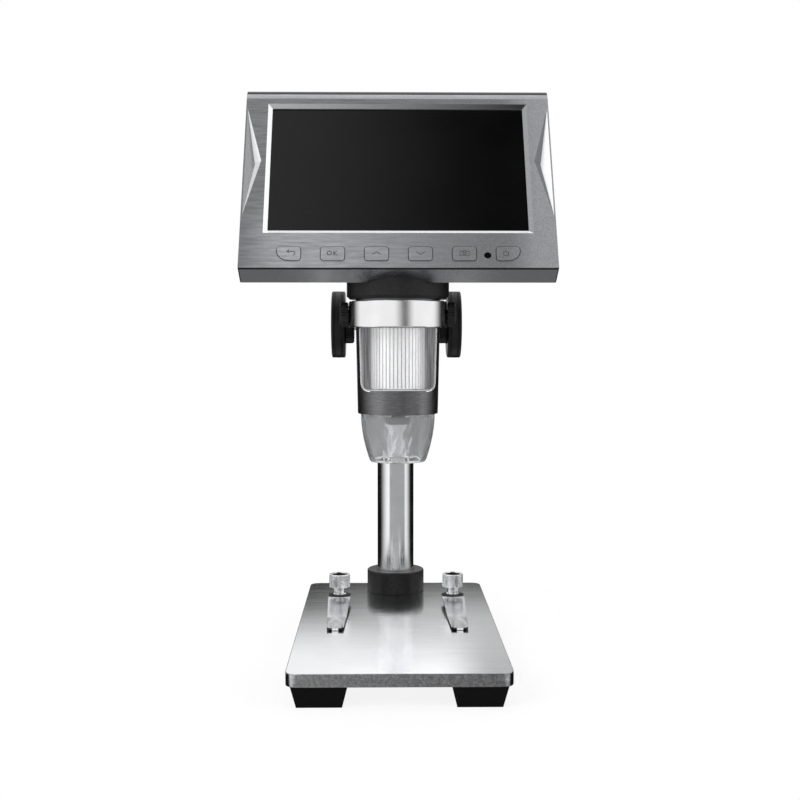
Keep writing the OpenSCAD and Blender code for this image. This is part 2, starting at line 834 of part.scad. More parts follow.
module holder_arm() {
    color(gunmetal) difference() {
        union() {
            translate([-arm_w / 2, tube_y, ring_z - arm_h / 2])
                cube([arm_w, slide_front - flange_t - tube_y + 0.5, arm_h]);
            translate([0, slide_front, ring_z]) rotate([90, 0, 0])
                linear_extrude(flange_t) rounded_rect(flange_w, flange_h, 2);
        }
        translate([0, tube_y, ring_low - 1]) cylinder(r = ring_d / 2, h = ring_h + 2);
        for (s = side_names) rod_y(0, slide_front - flange_t - eps, ring_z + s * arm_screw_rise,
            arm_screw_r, flange_t + 1);
    }
}

module arm_screws() {
    color(steel) for (s = side_names) {
        z = ring_z + s * arm_screw_rise;
        difference() {
            rod_y(0, slide_front - flange_t - arm_screw_head_h, z, arm_screw_head_r, arm_screw_head_h);
            rod_y(0, slide_front - flange_t - arm_screw_head_h - eps, z, arm_socket_r,
                arm_socket_depth + eps);
        }
        rod_y(0, slide_front - flange_t, z, arm_screw_r, flange_t + arm_screw_bite);
    }
}

module holder_ring() {
    r = ring_d / 2;
    outline = [
        [ring_bore_r, 0], [r - ring_edge, 0], [r, ring_edge], [r, ring_h - ring_edge],
        [r - ring_edge, ring_h], [ring_bore_r, ring_h]
    ];
    color(chrome) difference() {
        translate([0, tube_y, ring_low]) rotate_extrude($fn = 96) polygon(outline);
        rod_x(-ring_d, tube_y, ring_z, ring_screw_r + running, 2 * ring_d);
    }
}

module ring_screw() {
    color(black) {
        rod_x(ring_screw_tip, tube_y, ring_z, ring_screw_r, ring_screw_in - ring_screw_tip + 1);
        translate([ring_screw_in, tube_y, ring_z]) rotate([0, 90, 0]) {
            knurled(ring_screw_d / 2, ring_screw_t - 0.8, ring_knurls, 0.3);
            translate([0, 0, ring_screw_t - 0.8])
                cylinder(r1 = ring_screw_d / 2 - 0.45, r2 = ring_screw_d / 2 - 1.3, h = 0.8);
        }
    }
}

module ring_screw_left() {
    mirror([1, 0, 0]) ring_screw();
}

module ring_screw_right() {
    ring_screw();
}

// ---- Tube and optics ----

// Everything above the underside of the housing, seen from the side
module housing_above() {
    far = 200;
    polygon([
        [world_y(0, 0), world_z(0, 0)], [floor_front_y, floor_z],
        [world_y(cover_edge, -bezel_t), world_z(cover_edge, -bezel_t)],
        [world_y(cover_edge, cover_out), world_z(cover_edge, cover_out)],
        [world_y(cover_floor_up, cover_out), cover_floor_z], [back_y + far, cover_floor_z],
        [back_y + far, floor_z + far], [world_y(0, 0) - far, floor_z + far],
        [world_y(0, far), world_z(0, far)]
    ]);
}

module neck_disc() {
    r = neck_d / 2;
    color(black) difference() {
        translate([0, tube_y, neck_low]) {
            cylinder(r1 = r - neck_chamfer, r2 = r, h = neck_chamfer, $fn = 96);
            translate([0, 0, neck_chamfer]) cylinder(r = r, h = face_rise, $fn = 96);
            translate([0, 0, -neck_spigot]) cylinder(r = tube_bore_r, h = neck_spigot + 1, $fn = 96);
        }
        along_x(neck_d + 10) housing_above();
        translate([0, tube_y, neck_low - neck_spigot - eps])
            cylinder(r = neck_bore_r, h = neck_spigot + face_rise + 2);
        for (a = [90, 210, 330]) translate([0, tube_y, 0]) rotate(a)
            translate([neck_screw_ring_r, 0, cover_floor_z - neck_screw_bite])
                cylinder(r = neck_screw_r, h = 2 * neck_screw_bite);
    }
}

module neck_screws() {
    color(steel) for (a = [90, 210, 330]) translate([0, tube_y, 0]) rotate(a)
        translate([neck_screw_ring_r, 0, 0]) {
            translate([0, 0, cover_floor_z - neck_screw_bite + gap])
                cylinder(r = neck_screw_r, h = neck_screw_bite - gap + cover_wall);
            translate([0, 0, cover_floor_z + cover_wall])
                cylinder(r = neck_screw_head_r, h = neck_screw_head_h);
        }
}

module tube_body() {
    r = tube_d / 2;
    low_r = tube_low_d / 2;
    grip_low = tube_len - tube_grip;
    web = web_low - tube_low;
    outline = [
        [barrel_d / 2 + running, web], [shroud_seat_r, web], [shroud_seat_r, 0], [low_r - tube_edge, 0],
        [low_r, tube_edge], [r, grip_low], [r, tube_len], [tube_bore_r, tube_len],
        [tube_bore_r, window_sill], [barrel_d / 2 + running, window_sill]
    ];
    color(gunmetal) difference() {
        translate([0, tube_y, tube_low]) rotate_extrude($fn = 96) polygon(outline);
        translate([0, tube_y, 0]) rotate([90, 0, 0]) linear_extrude(tube_d) offset(window_r)
            offset(delta = -window_r) polygon([
                [-window_low_w / 2, sill_z], [window_low_w / 2, sill_z],
                [window_w / 2, window_top], [-window_w / 2, window_top]
            ]);
    }
}

module retaining_ring() {
    color(black) translate([0, tube_y, retainer_low]) difference() {
        cylinder(r = tube_bore_r, h = retainer_t);
        translate([0, 0, -eps]) cylinder(r = retainer_bore_r, h = retainer_t + 1);
    }
}

module sensor_board() {
    color(board_green) translate([0, tube_y, sensor_low]) {
        cylinder(r = tube_bore_r, h = sensor_t);
        translate([-sensor_chip / 2, -sensor_chip / 2, -sensor_chip_t])
            cube([sensor_chip, sensor_chip, sensor_chip_t + 0.1]);
    }
}

module sensor_cable() {
    low = sensor_low + sensor_t;
    bend = cover_floor_z + cover_wall + 1;
    end_up = board_low + 5;
    front = board_out + cable_t;
    color(dark_grey) along_x(cable_w) polygon([
        [cable_y, low], [cable_y, bend], [world_y(board_low, front), world_z(board_low, front)],
        [world_y(end_up, front), world_z(end_up, front)],
        [world_y(end_up, board_out), world_z(end_up, board_out)],
        [world_y(board_low, board_out), world_z(board_low, board_out)],
        [cable_y + cable_t, bend], [cable_y + cable_t, low]
    ]);
}

// Radius of the shroud's outside at the fraction k of its length
function shroud_r(k) = shroud_d / 2 - (shroud_d - shroud_mouth_d) / 2 * pow(k, 1.9);

module shroud() {
    steps = 10;
    spigot = web_low - tube_low - 0.1;
    outer = [for (i = [0:steps]) let (k = i / steps) [shroud_r(k), -shroud_len * k]];
    inner = [for (i = [steps:-1:0]) let (k = i / steps)
        [shroud_r(k) - shroud_wall, -(shroud_len - 1) * k]];
    outline = concat(
        [[shroud_seat_r, spigot], [shroud_seat_r, 0]], outer,
        [[shroud_mouth_d / 2 - 2.2, -shroud_len], [shroud_mouth_d / 2 - 2.2, -shroud_len + 1]], inner,
        [[shroud_seat_r - shroud_wall, spigot]]
    );
    color(glass, 0.4) translate([0, tube_y, tube_low]) rotate_extrude($fn = 96) polygon(outline);
}

module led_board() {
    color("white") translate([0, tube_y, led_board_top - led_board_t]) difference() {
        cylinder(r = led_board_r, h = led_board_t);
        translate([0, 0, -eps]) cylinder(r = led_board_bore_r, h = led_board_t + 1);
    }
}

module led_lamps() {
    low = led_board_top - led_board_t - led_h;
    color("lightyellow") for (i = [0:led_count - 1]) translate([0, tube_y, 0])
        rotate(360 * (i + 0.5) / led_count) translate([led_ring_r, 0, low]) {
            cylinder(r1 = led_r - 0.6, r2 = led_r, h = 0.8, $fn = 32);
            translate([0, 0, 0.8]) cylinder(r = led_r, h = led_h - 0.8, $fn = 32);
        }
}

module focus_roller() {
    color(chrome) translate([0, tube_y, roller_low]) difference() {
        knurled(roller_d / 2, roller_len, roller_ribs, roller_rib);
        translate([0, 0, -eps]) cylinder(r = barrel_d / 2 + running, h = roller_len + 1);
    }
}

module lens_barrel() {
    outline = [
        [lens_r, nose_low], [nose_d / 2 - 0.8, nose_low], [nose_d / 2, nose_low + 0.8],
        [nose_d / 2, barrel_low], [barrel_d / 2, barrel_low], [barrel_d / 2, barrel_top],
        [barrel_d / 2 - 2, barrel_top], [barrel_d / 2 - 2, barrel_low + 3], [lens_r, barrel_low + 3]
    ];
    color(black) translate([0, tube_y, 0]) rotate_extrude() polygon(outline);
}

module objective_lenses() {
    color(glass, 0.5) translate([0, tube_y, 0]) {
        translate([0, 0, nose_low + 0.8]) cylinder(r = lens_r, h = 1.8);
        translate([0, 0, barrel_low]) cylinder(r = lens_r, h = 2.2);
    }
}

// ---- Screen housing ----

// A block that narrows from w0 by h0 at z = 0 to w1 by h1 at z = -depth, and stands proud by eps
module bevelled_hole(w0, h0, w1, h1, depth) {
    grow = eps / depth;
    wt = w0 + (w0 - w1) * grow;
    ht = h0 + (h0 - h1) * grow;
    function ring(w, h, z) = [for (p = [[-1, -1], [1, -1], [1, 1], [-1, 1]]) [p.x * w / 2, p.y * h / 2, z]];
    polyhedron(concat(ring(w1, h1, -depth), ring(wt, ht, eps)), [
        [0, 1, 2, 3], [7, 6, 5, 4], [0, 4, 5, 1], [1, 5, 6, 2], [2, 6, 7, 3], [3, 7, 4, 0]
    ]);
}

// The pocket in the right side: its floor rises to the side edge, and its walls meet in a V
module side_notch() {
    x = case_w / 2 - notch_edge;
    half = notch_len / 2;
    deep_x = x - 0.58 * notch_w;
    lift = eps / notch_depth;
    function up_from(p) = [p.x + (p.x - deep_x) * lift, notch_up + (p.y - notch_up) * (1 + lift), eps];
    polyhedron([
        [deep_x, notch_up, -notch_depth], up_from([x, notch_up - half]), up_from([x, notch_up + half]),
        up_from([x - notch_w, notch_up])
    ], [[0, 1, 2], [0, 2, 3], [0, 3, 1], [3, 2, 1]]);
}

module bezel_outline() {
    r = corner_r;
    low = -bezel_flare - 1;
    hull() {
        for (x = side_names) translate([x * (case_w / 2 - r), case_top_up + 0.1 - r]) circle(r);
        translate([-case_w / 2, low]) square([case_w, 1]);
    }
}

// A rounded rectangle; big is the side, -1 or 1, whose lower corner has the wide radius
module button_shape(grow, big) {
    r = button_big_r;
    offset(delta = grow) difference() {
        rounded_rect(button_w, button_h, button_r);
        if (big != 0) translate([big * (button_w / 2 - r), r - button_h / 2]) difference() {
            translate([big > 0 ? 0 : -2 * r, -2 * r]) square(2 * r);
            circle(r, $fn = 48);
        }
    }
}

function button_big(i) = i == 0 ? -1 : i == 5 ? 1 : 0;

module front_bezel() {
    mid_up = screen_up + screen_h / 2;
    color(silver_grey) on_face() difference() {
        intersection() {
            along_x(case_w) polygon([
                [0, 0],
                for (i = [0:round_steps]) let (a = 90 * i / round_steps)
                    [round_up + top_round * sin(a), top_round * (cos(a) - 1)],
                [case_top_up, -bezel_t], [-bezel_flare, -bezel_t]
            ]);
            translate([0, 0, -bezel_t - 1]) linear_extrude(bezel_t + 2) bezel_outline();
        }
        translate([-cavity_w / 2, cavity_low, -bezel_t - 1])
            cube([cavity_w, cavity_high - cavity_low, bezel_t + 1 - bezel_wall]);
        translate([0, mid_up, 0]) bevelled_hole(screen_w + 2 * screen_bevel, screen_h + 2 * screen_bevel,
            screen_w, screen_h, screen_bevel_depth);
        translate([-screen_w / 2, screen_up, -bezel_wall - eps]) cube([screen_w, screen_h, bezel_wall + 1]);
        side_notch();
        mirror([1, 0, 0]) side_notch();
        for (i = [0:5]) translate([button_names_x[i], button_up, -bezel_wall - eps])
            linear_extrude(bezel_wall + 1) button_shape(gap, button_big(i));
        translate([indicator_x, button_up - indicator_drop, -bezel_wall - eps])
            cylinder(r = indicator_d / 2, h = bezel_wall + 1);
        for (x = side_names, up = cover_screw_ups) translate([x * cover_screw_x, up, -bezel_t - eps])
            cylinder(r = cover_screw_r, h = cover_screw_bite + eps);
    }
}

// The wedge behind the screen, seen from the side; inset shrinks it by a wall, front cuts it open
module wedge_side(inset, front) {
    top_z = world_z(bulge_top_up, cover_out);
    far_up = face_h + 20;
    intersection() {
        offset(r = bulge_round - inset) offset(delta = -bulge_round) polygon([
            [floor_front_y - wedge_ahead, cover_floor_z], [back_y, cover_floor_z],
            [back_y, world_z(shoulder_up, cover_out)],
            [world_y(bulge_top_up, -bezel_t), top_z + 3], [world_y(bulge_top_up, 2), top_z + 8]
        ]);
        polygon([
            [world_y(-far_up, front), world_z(-far_up, front)], [back_y + 10, world_z(-far_up, front)],
            [back_y + 10, world_z(far_up, front)], [world_y(far_up, front), world_z(far_up, front)]
        ]);
    }
}

module wedge_plan(inset) {
    r = bulge_corner - inset;
    w = bulge_w / 2 - inset;
    back = back_y - inset;
    hull() {
        for (x = side_names) translate([x * (w - r), back - r]) circle(r);
        for (x = side_names) translate([x * (w - 1), floor_front_y - 20]) circle(1);
    }
}

module wedge(inset, front) {
    intersection() {
        along_x(bulge_w) wedge_side(inset, front);
        translate([0, 0, floor_z - 5]) linear_extrude(face_h + 20) wedge_plan(inset);
    }
}

// An opening for a socket or the dimmer, cut through the right side wall
module port(up, out, h, t) {
    translate([bulge_w / 2 - cover_wall - 1, up - h / 2, out - t / 2]) cube([cover_wall + 2, h, t]);
}

// The flat frame that closes the bezel and carries the rear cover
module rear_plate() {
    color(dark_grey) on_face() difference() {
        translate([0, case_top_up / 2, cover_out]) linear_extrude(cover_t)
            rounded_rect(case_w - 2 * cover_edge, case_top_up - 2 * cover_edge, 3);
        translate([-void_w / 2, void_low_up, cover_out - eps])
            cube([void_w, void_top_up - void_low_up, cover_t + 1]);
        for (x = side_names, up = cover_screw_ups) translate([x * cover_screw_x, up, cover_out - eps])
            cylinder(r = cover_screw_r, h = cover_t + 1);
    }
}

module rear_cover() {
    usb_out = board_back - usb_t / 2;
    card_out = board_back - card_t / 2;
    dimmer_mid = dimmer_out_z + dimmer_t / 2;
    color(dark_grey) difference() {
        wedge(0, cover_out);
        difference() {
            wedge(cover_wall, cover_out + 1);
            difference() {
                for (x = side_names) translate([x * cradle_x - 1, battery_y - battery_d / 2, cover_floor_z])
                    cube([2, battery_d + 5, cover_wall + cradle_t + battery_d / 2]);
                rod_x(-battery_len, battery_y, battery_z, battery_d / 2 + running, 2 * battery_len);
            }
            on_face() each_side() for (up = board_screw_ups)
                translate([board_pad_in, up - board_pad_h / 2, board_back - board_pad_depth])
                    cube([void_w / 2 + eps - board_pad_in, board_pad_h, board_pad_depth]);
        }
        on_face() {
            port(usb_up, usb_out, usb_w + 2 * socket_play, usb_t + 2 * socket_play);
            port(card_up, card_out, card_w + 2 * socket_play, card_t + 2 * socket_play);
            mirror([1, 0, 0]) port(dimmer_up, dimmer_mid, dimmer_d + 0.8, dimmer_t + 0.8);
            for (x = side_names, up = board_screw_ups) translate([x * board_screw_x, up, board_back - 5])
                cylinder(r = cover_screw_r, h = 6);
        }
        translate([0, tube_y, cover_floor_z - eps]) cylinder(r = neck_bore_r, h = cover_wall + 1);
        for (a = [90, 210, 330]) translate([0, tube_y, 0]) rotate(a)
            translate([neck_screw_ring_r, 0, cover_floor_z - eps])
                cylinder(r = neck_screw_r, h = cover_wall + 1);
    }
}

module cover_screws() {
    color(black) on_face() for (x = side_names, up = cover_screw_ups)
        translate([x * cover_screw_x, up, 0]) {
            translate([0, 0, cover_out - cover_screw_head_h])
                cylinder(r = cover_screw_head_r, h = cover_screw_head_h);
            translate([0, 0, cover_out]) cylinder(r = cover_screw_r, h = cover_t + cover_screw_bite - gap);
        }
}

module lcd_panel() {
    color([0.02, 0.02, 0.025]) on_face() translate([-panel_w / 2, panel_up, panel_out - panel_t])
        cube([panel_w, panel_h, panel_t]);
}

module screen_cable() {
    back = panel_out - panel_t;
    color(dark_grey) on_face() translate([-screen_cable_w / 2, screen_cable_up, board_out])
        cube([screen_cable_w, cable_t, back - board_out]);
}

module main_board() {
    back = board_back - chip_t;
    color(board_green) on_face() difference() {
        union() {
            translate([-board_w / 2, board_low, board_back])
                cube([board_w, board_high - board_low, board_t]);
            for (c = chips) translate([c[0], board_low + c[1], back]) cube([c[2], c[3], chip_t + 0.1]);
        }
        for (x = side_names, up = board_screw_ups) translate([x * board_screw_x, up, board_back - eps])
            cylinder(r = cover_screw_r, h = board_t + 1);
    }
}

module board_screws() {
    color(steel) on_face() for (x = side_names, up = board_screw_ups)
        translate([x * board_screw_x, up, 0]) {
            translate([0, 0, board_out]) cylinder(r = cover_screw_head_r, h = cover_screw_head_h);
            translate([0, 0, board_back - 4]) cylinder(r = cover_screw_r, h = board_t + 4);
        }
}

module battery() {
    color("steelblue") {
        rod_x(-battery_len / 2, battery_y, battery_z, battery_d / 2, battery_len);
        rod_x(battery_len / 2, battery_y, battery_z, 2.8, 1.2);
    }
}

module button_board() {
    color(board_green) on_face() translate([-key_board_w / 2, key_board_low, key_board_out - key_board_t])
        cube([key_board_w, key_board_high - key_board_low, key_board_t]);
}

module button_switches() {
    color(black) on_face() for (x = button_names_x) translate([x, button_up, key_board_out]) {
        translate([-switch_size / 2, -switch_size / 2, 0]) cube([switch_size, switch_size, switch_h - 0.4]);
        cylinder(r = 1.2, h = switch_h);
    }
}

module usb_socket() {
    color(steel) on_face() translate([socket_x - usb_depth, usb_up - usb_w / 2, board_back - usb_t])
        difference() {
            cube([usb_depth, usb_w, usb_t]);
            translate([1, 0.5, 0.5]) cube([usb_depth, usb_w - 1, usb_t - 1]);
        }
}

module card_socket() {
    color(steel) on_face() translate([socket_x - card_depth, card_up - card_w / 2, board_back - card_t])
        difference() {
            cube([card_depth, card_w, card_t]);
            translate([1, 0.5, 0.4]) cube([card_depth, card_w - 1, card_t - 0.8]);
        }
}

module indicator_lens() {
    color(black) on_face() translate([indicator_x, button_up - indicator_drop, key_board_out])
        cylinder(r = indicator_d / 2, h = -key_board_out - 0.3);
}

module dimmer_wheel() {
    color(black) on_face() translate([-dimmer_x, dimmer_up, dimmer_out_z]) {
        knurled(dimmer_d / 2, dimmer_t, dimmer_knurls, 0.35);
        cylinder(r = dimmer_hub_r, h = board_back - seat - dimmer_out_z);
    }
}

// ---- Buttons ----

module button(i) {
    big = button_big(i);
    color(silver_grey) on_face() translate([button_names_x[i], button_up, 0]) {
        translate([0, 0, button_flange_out - 0.1])
            linear_extrude(button_out - button_flange_out + 0.1) button_shape(0, big);
        translate([0, 0, button_flange_out - button_flange_t])
            linear_extrude(button_flange_t) button_shape(button_flange, big);
        translate([0, 0, button_stem_out]) cylinder(r = button_stem_r, h = -button_stem_out);
    }
}

base_plate();
feet();
foot_screws();
column();
column_collar();
column_screw();
clip_posts();
clip(-1);  // clip_left
clip(1);  // clip_right
thumb_screw(-1);  // thumb_screw_left
thumb_screw(1);  // thumb_screw_right
focus_block();
pinion_bushes();
lock_knob();
pinion_shaft();
pinion_gear();
focus_knob_left();
focus_knob_right();
slide_bar();
focus_rack();
holder_arm();
arm_screws();
holder_ring();
ring_screw_left();
ring_screw_right();
neck_disc();
neck_screws();
tube_body();
retaining_ring();
sensor_board();
sensor_cable();
shroud();
led_board();
led_lamps();
focus_roller();
lens_barrel();
objective_lenses();
front_bezel();
rear_plate();
rear_cover();
cover_screws();
lcd_panel();
screen_cable();
main_board();
board_screws();
battery();
button_board();
button_switches();
usb_socket();
card_socket();
indicator_lens();
dimmer_wheel();
button(0);  // button_back
button(1);  // button_ok
button(2);  // button_up
button(3);  // button_down
button(4);  // button_capture
button(5);  // button_power
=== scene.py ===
import math
import bmesh
import bpy
from mathutils import Matrix, Vector


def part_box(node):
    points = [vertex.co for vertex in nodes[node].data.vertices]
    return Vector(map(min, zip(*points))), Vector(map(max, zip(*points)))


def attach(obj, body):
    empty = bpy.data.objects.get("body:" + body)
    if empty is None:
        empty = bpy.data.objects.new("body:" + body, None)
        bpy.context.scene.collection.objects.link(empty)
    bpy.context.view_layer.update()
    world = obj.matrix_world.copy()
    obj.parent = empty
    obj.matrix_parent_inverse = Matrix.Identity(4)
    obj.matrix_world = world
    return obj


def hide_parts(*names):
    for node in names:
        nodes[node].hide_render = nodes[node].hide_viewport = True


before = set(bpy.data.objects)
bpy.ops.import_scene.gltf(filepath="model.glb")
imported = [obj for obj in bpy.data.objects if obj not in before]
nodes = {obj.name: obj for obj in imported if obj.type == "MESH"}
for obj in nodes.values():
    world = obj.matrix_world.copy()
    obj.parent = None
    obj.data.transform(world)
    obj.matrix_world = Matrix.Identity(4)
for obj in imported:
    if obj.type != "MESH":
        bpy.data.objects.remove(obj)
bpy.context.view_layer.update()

mm = 0.001


def boxMm(node):
    low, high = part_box(node)
    return Vector(low) / mm, Vector(high) / mm


def centreMm(node):
    low, high = boxMm(node)
    return (low + high) / 2


# the camera comes first: a 54 mm lens half a metre in front, looking slightly down
camera = {"lens": 54, "sensor": 36, "place": (-5.98, -506.5, 133.02), "pitch": 2.892, "yaw": 0.8136}
cameraData = bpy.data.cameras.new("camera")
cameraData.lens = camera["lens"]
cameraData.sensor_width = camera["sensor"]
cameraObject = bpy.data.objects.new("camera", cameraData)
cameraObject.location = Vector(camera["place"]) * mm
cameraObject.rotation_euler = (math.radians(90 - camera["pitch"]), 0, -math.radians(camera["yaw"]))
bpy.context.scene.collection.objects.link(cameraObject)
bpy.context.scene.camera = cameraObject
bpy.context.scene.view_settings.view_transform = "Standard"
print("camera ready")


# shader writing: a link is one output socket, and sums on links become Math nodes
class Link:
    def __init__(self, wiring, socket):
        self.wiring = wiring
        self.socket = socket

    def __add__(self, other):
        return self.wiring.maths("ADD", self, other)

    def __sub__(self, other):
        return self.wiring.maths("SUBTRACT", self, other)

    def __rsub__(self, other):
        return self.wiring.maths("SUBTRACT", other, self)

    def __mul__(self, other):
        return self.wiring.maths("MULTIPLY", self, other)

    __radd__ = __add__
    __rmul__ = __mul__


class Wiring:
    def __init__(self, owner):
        # owner is the material or world that holds the nodes
        owner.use_nodes = True
        self.tree = owner.node_tree
        self.tree.nodes.clear()

    def node(self, kind, settings=None, sockets=None, output=0):
        # gives the link of one output, a list of links for several, or the node itself for None
        made = self.tree.nodes.new(kind)
        for key, value in (settings or {}).items():
            setattr(made, key, value)
        for key, value in (sockets or {}).items():
            self.join(value, made.inputs[key])
        if output is None:
            return made
        if isinstance(output, tuple):
            return [Link(self, made.outputs[key]) for key in output]
        return Link(self, made.outputs[output])

    def join(self, value, socket):
        if isinstance(value, Link):
            self.tree.links.new(value.socket, socket)
        else:
            socket.default_value = value

    def show(self, surface, kind="Material"):
        self.node("ShaderNodeOutput" + kind, None, {"Surface": surface}, None)

    def maths(self, operation, *values):
        return self.node("ShaderNodeMath", {"operation": operation}, dict(enumerate(values)))

    def vectorMaths(self, operation, *values, output=0):
        return self.node("ShaderNodeVectorMath", {"operation": operation}, dict(enumerate(values)), output)

    def place(self, stretch=None):
        # the point on the piece in its own space, stretched for grain that runs one way
        point = self.node("ShaderNodeTexCoord", None, None, "Object")
        return self.vectorMaths("MULTIPLY", point, stretch) if stretch else point

    def parts(self, axes, vector):
        return self.node("ShaderNodeSeparateXYZ", None, {0: vector}, axes if len(axes) == 1 else tuple(axes))

    def noise(self, size, stretch=None, detail=3, roughness=0.55):
        # size is the width of a blotch in mm
        return self.node("ShaderNodeTexNoise", None, {
            "Vector": self.place(stretch), "Scale": 1 / (size * mm), "Detail": detail,
            "Roughness": roughness}, "Fac")

    def spread(self, value, start, end, toStart=0, toEnd=1, kind="LINEAR"):
        return self.node("ShaderNodeMapRange", {"interpolation_type": kind}, {
            "Value": value, "From Min": start, "From Max": end, "To Min": toStart, "To Max": toEnd})

    def step(self, value, start, end):
        return self.spread(value, start, end, kind="SMOOTHSTEP")

    def between(self, value, start, full, fading, end):
        # rises from start to full and falls again from fading to end
        return self.step(value, start, full) * (1 - self.step(value, fading, end))

    def tint(self, factor, first, second, kind="MIX"):
        first, second = ((*tone, 1) if isinstance(tone, tuple) else tone for tone in (first, second))
        return self.node("ShaderNodeMix", {"data_type": "RGBA", "blend_type": kind},
                         {"Factor": factor, 6: first, 7: second}, 2)


class Finish(Wiring):
    def __init__(self, name, **constants):
        self.material = bpy.data.materials.new(name)
        super().__init__(self.material)
        self.shader = self.node("ShaderNodeBsdfPrincipled", None, {
            key.replace("_", " "): (*value, 1) if isinstance(value, tuple) else value
            for key, value in constants.items()}, None)
        self.show(Link(self, self.shader.outputs[0]))

    def feed(self, name, value):
        self.join(value, self.shader.inputs[name])
        return self

    def colour(self, value, first, second, start=0.3, end=0.7, name="Base Color"):
        return self.feed(name, self.tint(self.spread(value, start, end), first, second))

    def gloss(self, value, first, second, start=0.3, end=0.7):
        return self.feed("Roughness", self.spread(value, start, end, first, second))

    def relief(self, height, depth):
        # depth is in mm
        return self.feed("Normal", self.node("ShaderNodeBump", None, {
            "Height": height, "Distance": depth * mm, "Strength": 1}))


def scaled(tone, share):
    return tuple(channel * share for channel in tone)


# metals
def brushedSteel():
    f = Finish("brushedSteel", Metallic=1)
    streak = f.noise(0.9, (0.03, 1, 1), 5, 0.7)
    cloud = f.noise(18, detail=2)
    f.colour(streak * 0.75 + cloud * 0.25, (0.66, 0.67, 0.68), (0.8, 0.81, 0.82))
    return f.gloss(streak, 0.11, 0.18, 0.25, 0.75).relief(streak, 0.003).material


def groundSteel():
    # the plate's sawn sides: grey, with a coarse grain, and painted light that makes them paler towards the
    # left
    f = Finish("groundSteel", Metallic=1)
    grain = f.noise(1.1, detail=5, roughness=0.8)
    x = f.parts("X", f.place())
    f.colour(grain - x * 2.2, (0.22, 0.222, 0.23), (0.62, 0.625, 0.635))
    return f.gloss(grain, 0.13, 0.24).material


def polishedChrome(name, roughness, tone=(0.83, 0.84, 0.85)):
    f = Finish(name, Metallic=1)
    smear = f.noise(7, detail=3)
    return f.colour(smear, scaled(tone, 0.93), tone).gloss(smear, roughness * 0.8, roughness * 1.3).material


def springSteel():
    f = Finish("springSteel", Metallic=1)
    grain = f.noise(2.4, (1, 0.4, 1), 2)
    return f.colour(grain, (0.42, 0.43, 0.44), (0.46, 0.47, 0.48)).gloss(grain, 0.17, 0.19).material


def plainMetal(name, tone, roughness, depth=0.003):
    f = Finish(name, Metallic=1)
    grain = f.noise(0.5, detail=4)
    f.colour(grain, scaled(tone, 0.82), tone).gloss(grain, roughness * 0.8, roughness * 1.2)
    return f.relief(grain, depth).material


def paintedGlowSilver(name, metal, light, stretch, dark, pale, dim, gloss):
    # bare bright metal with a painted glow: its emission makes it look lit from everywhere
    f = Finish(name, Metallic=metal, Specular_IOR_Level=0.5, Emission_Strength=light)
    grain = f.noise(0.6, stretch)
    f.colour(grain, dark, pale).colour(grain, (dim, dim, dim), (1, 1, 1), name="Emission Color")
    return f.gloss(grain, *gloss).material


def rimShade():
    # the upper slope of the window's frame, with painted shade that darkens it towards the right
    f = Finish("rimShade", Metallic=1, Roughness=0.22)
    x = f.parts("X", f.place())
    grain = f.noise(0.6, (0.2, 1, 1))
    return f.colour(x + grain * 0.008, (0.62, 0.63, 0.64), (0.07, 0.07, 0.075), -0.046, 0.054).material


def boreSilver():
    # bare turned aluminium, with fine streaks along the bore, painted shade that darkens it towards the back,
    # and a faint painted glow
    f = Finish("boreSilver", Specular_IOR_Level=0.5, Emission_Strength=0.08)
    streak = f.noise(1.1, (1, 1, 0.04), 3, 0.7)
    y = f.parts("Y", f.place())
    lit = 1 - f.step(y, 0.001, 0.008) * 0.85
    bare = f.tint(f.spread(streak, 0.4, 0.6), (0.32, 0.32, 0.33), (0.74, 0.74, 0.75))
    f.feed("Base Color", f.tint(lit, (0.02, 0.02, 0.02), bare))
    f.feed("Emission Color", f.tint(f.spread(streak, 0.35, 0.65) * lit, (0.1, 0.1, 0.1), (1, 1, 1)))
    return f.gloss(streak, 0.42, 0.56).relief(streak, 0.006).material


def turnedDark():
    # dark anodising over fine turning marks
    f = Finish("turnedDark", Metallic=1)
    mixed = f.noise(0.5, (0.15, 0.15, 1.6), 4, 0.7) * 0.6 + f.noise(0.28, detail=2) * 0.4
    f.colour(mixed, (0.13, 0.131, 0.135), (0.27, 0.272, 0.28), 0.35, 0.65)
    return f.gloss(mixed, 0.27, 0.36).relief(mixed, 0.008).material


# blacks and plastics
def blackSatin(name, tone, roughness, blotch=1.2, depth=0.02):
    f = Finish(name, Specular_IOR_Level=0.25)
    mottle = f.noise(blotch, detail=4, roughness=0.65)
    f.colour(mottle, scaled(tone, 0.6), tone, 0.35, 0.65)
    return f.gloss(mottle, roughness * 0.85, roughness * 1.15).relief(mottle, depth).material


def footRubber():
    f = Finish("footRubber", Specular_IOR_Level=0.1)
    grain = f.noise(0.4, detail=3)
    f.colour(grain, (0.002, 0.002, 0.002), (0.005, 0.005, 0.005))
    return f.gloss(grain, 0.55, 0.75).relief(grain, 0.02).material


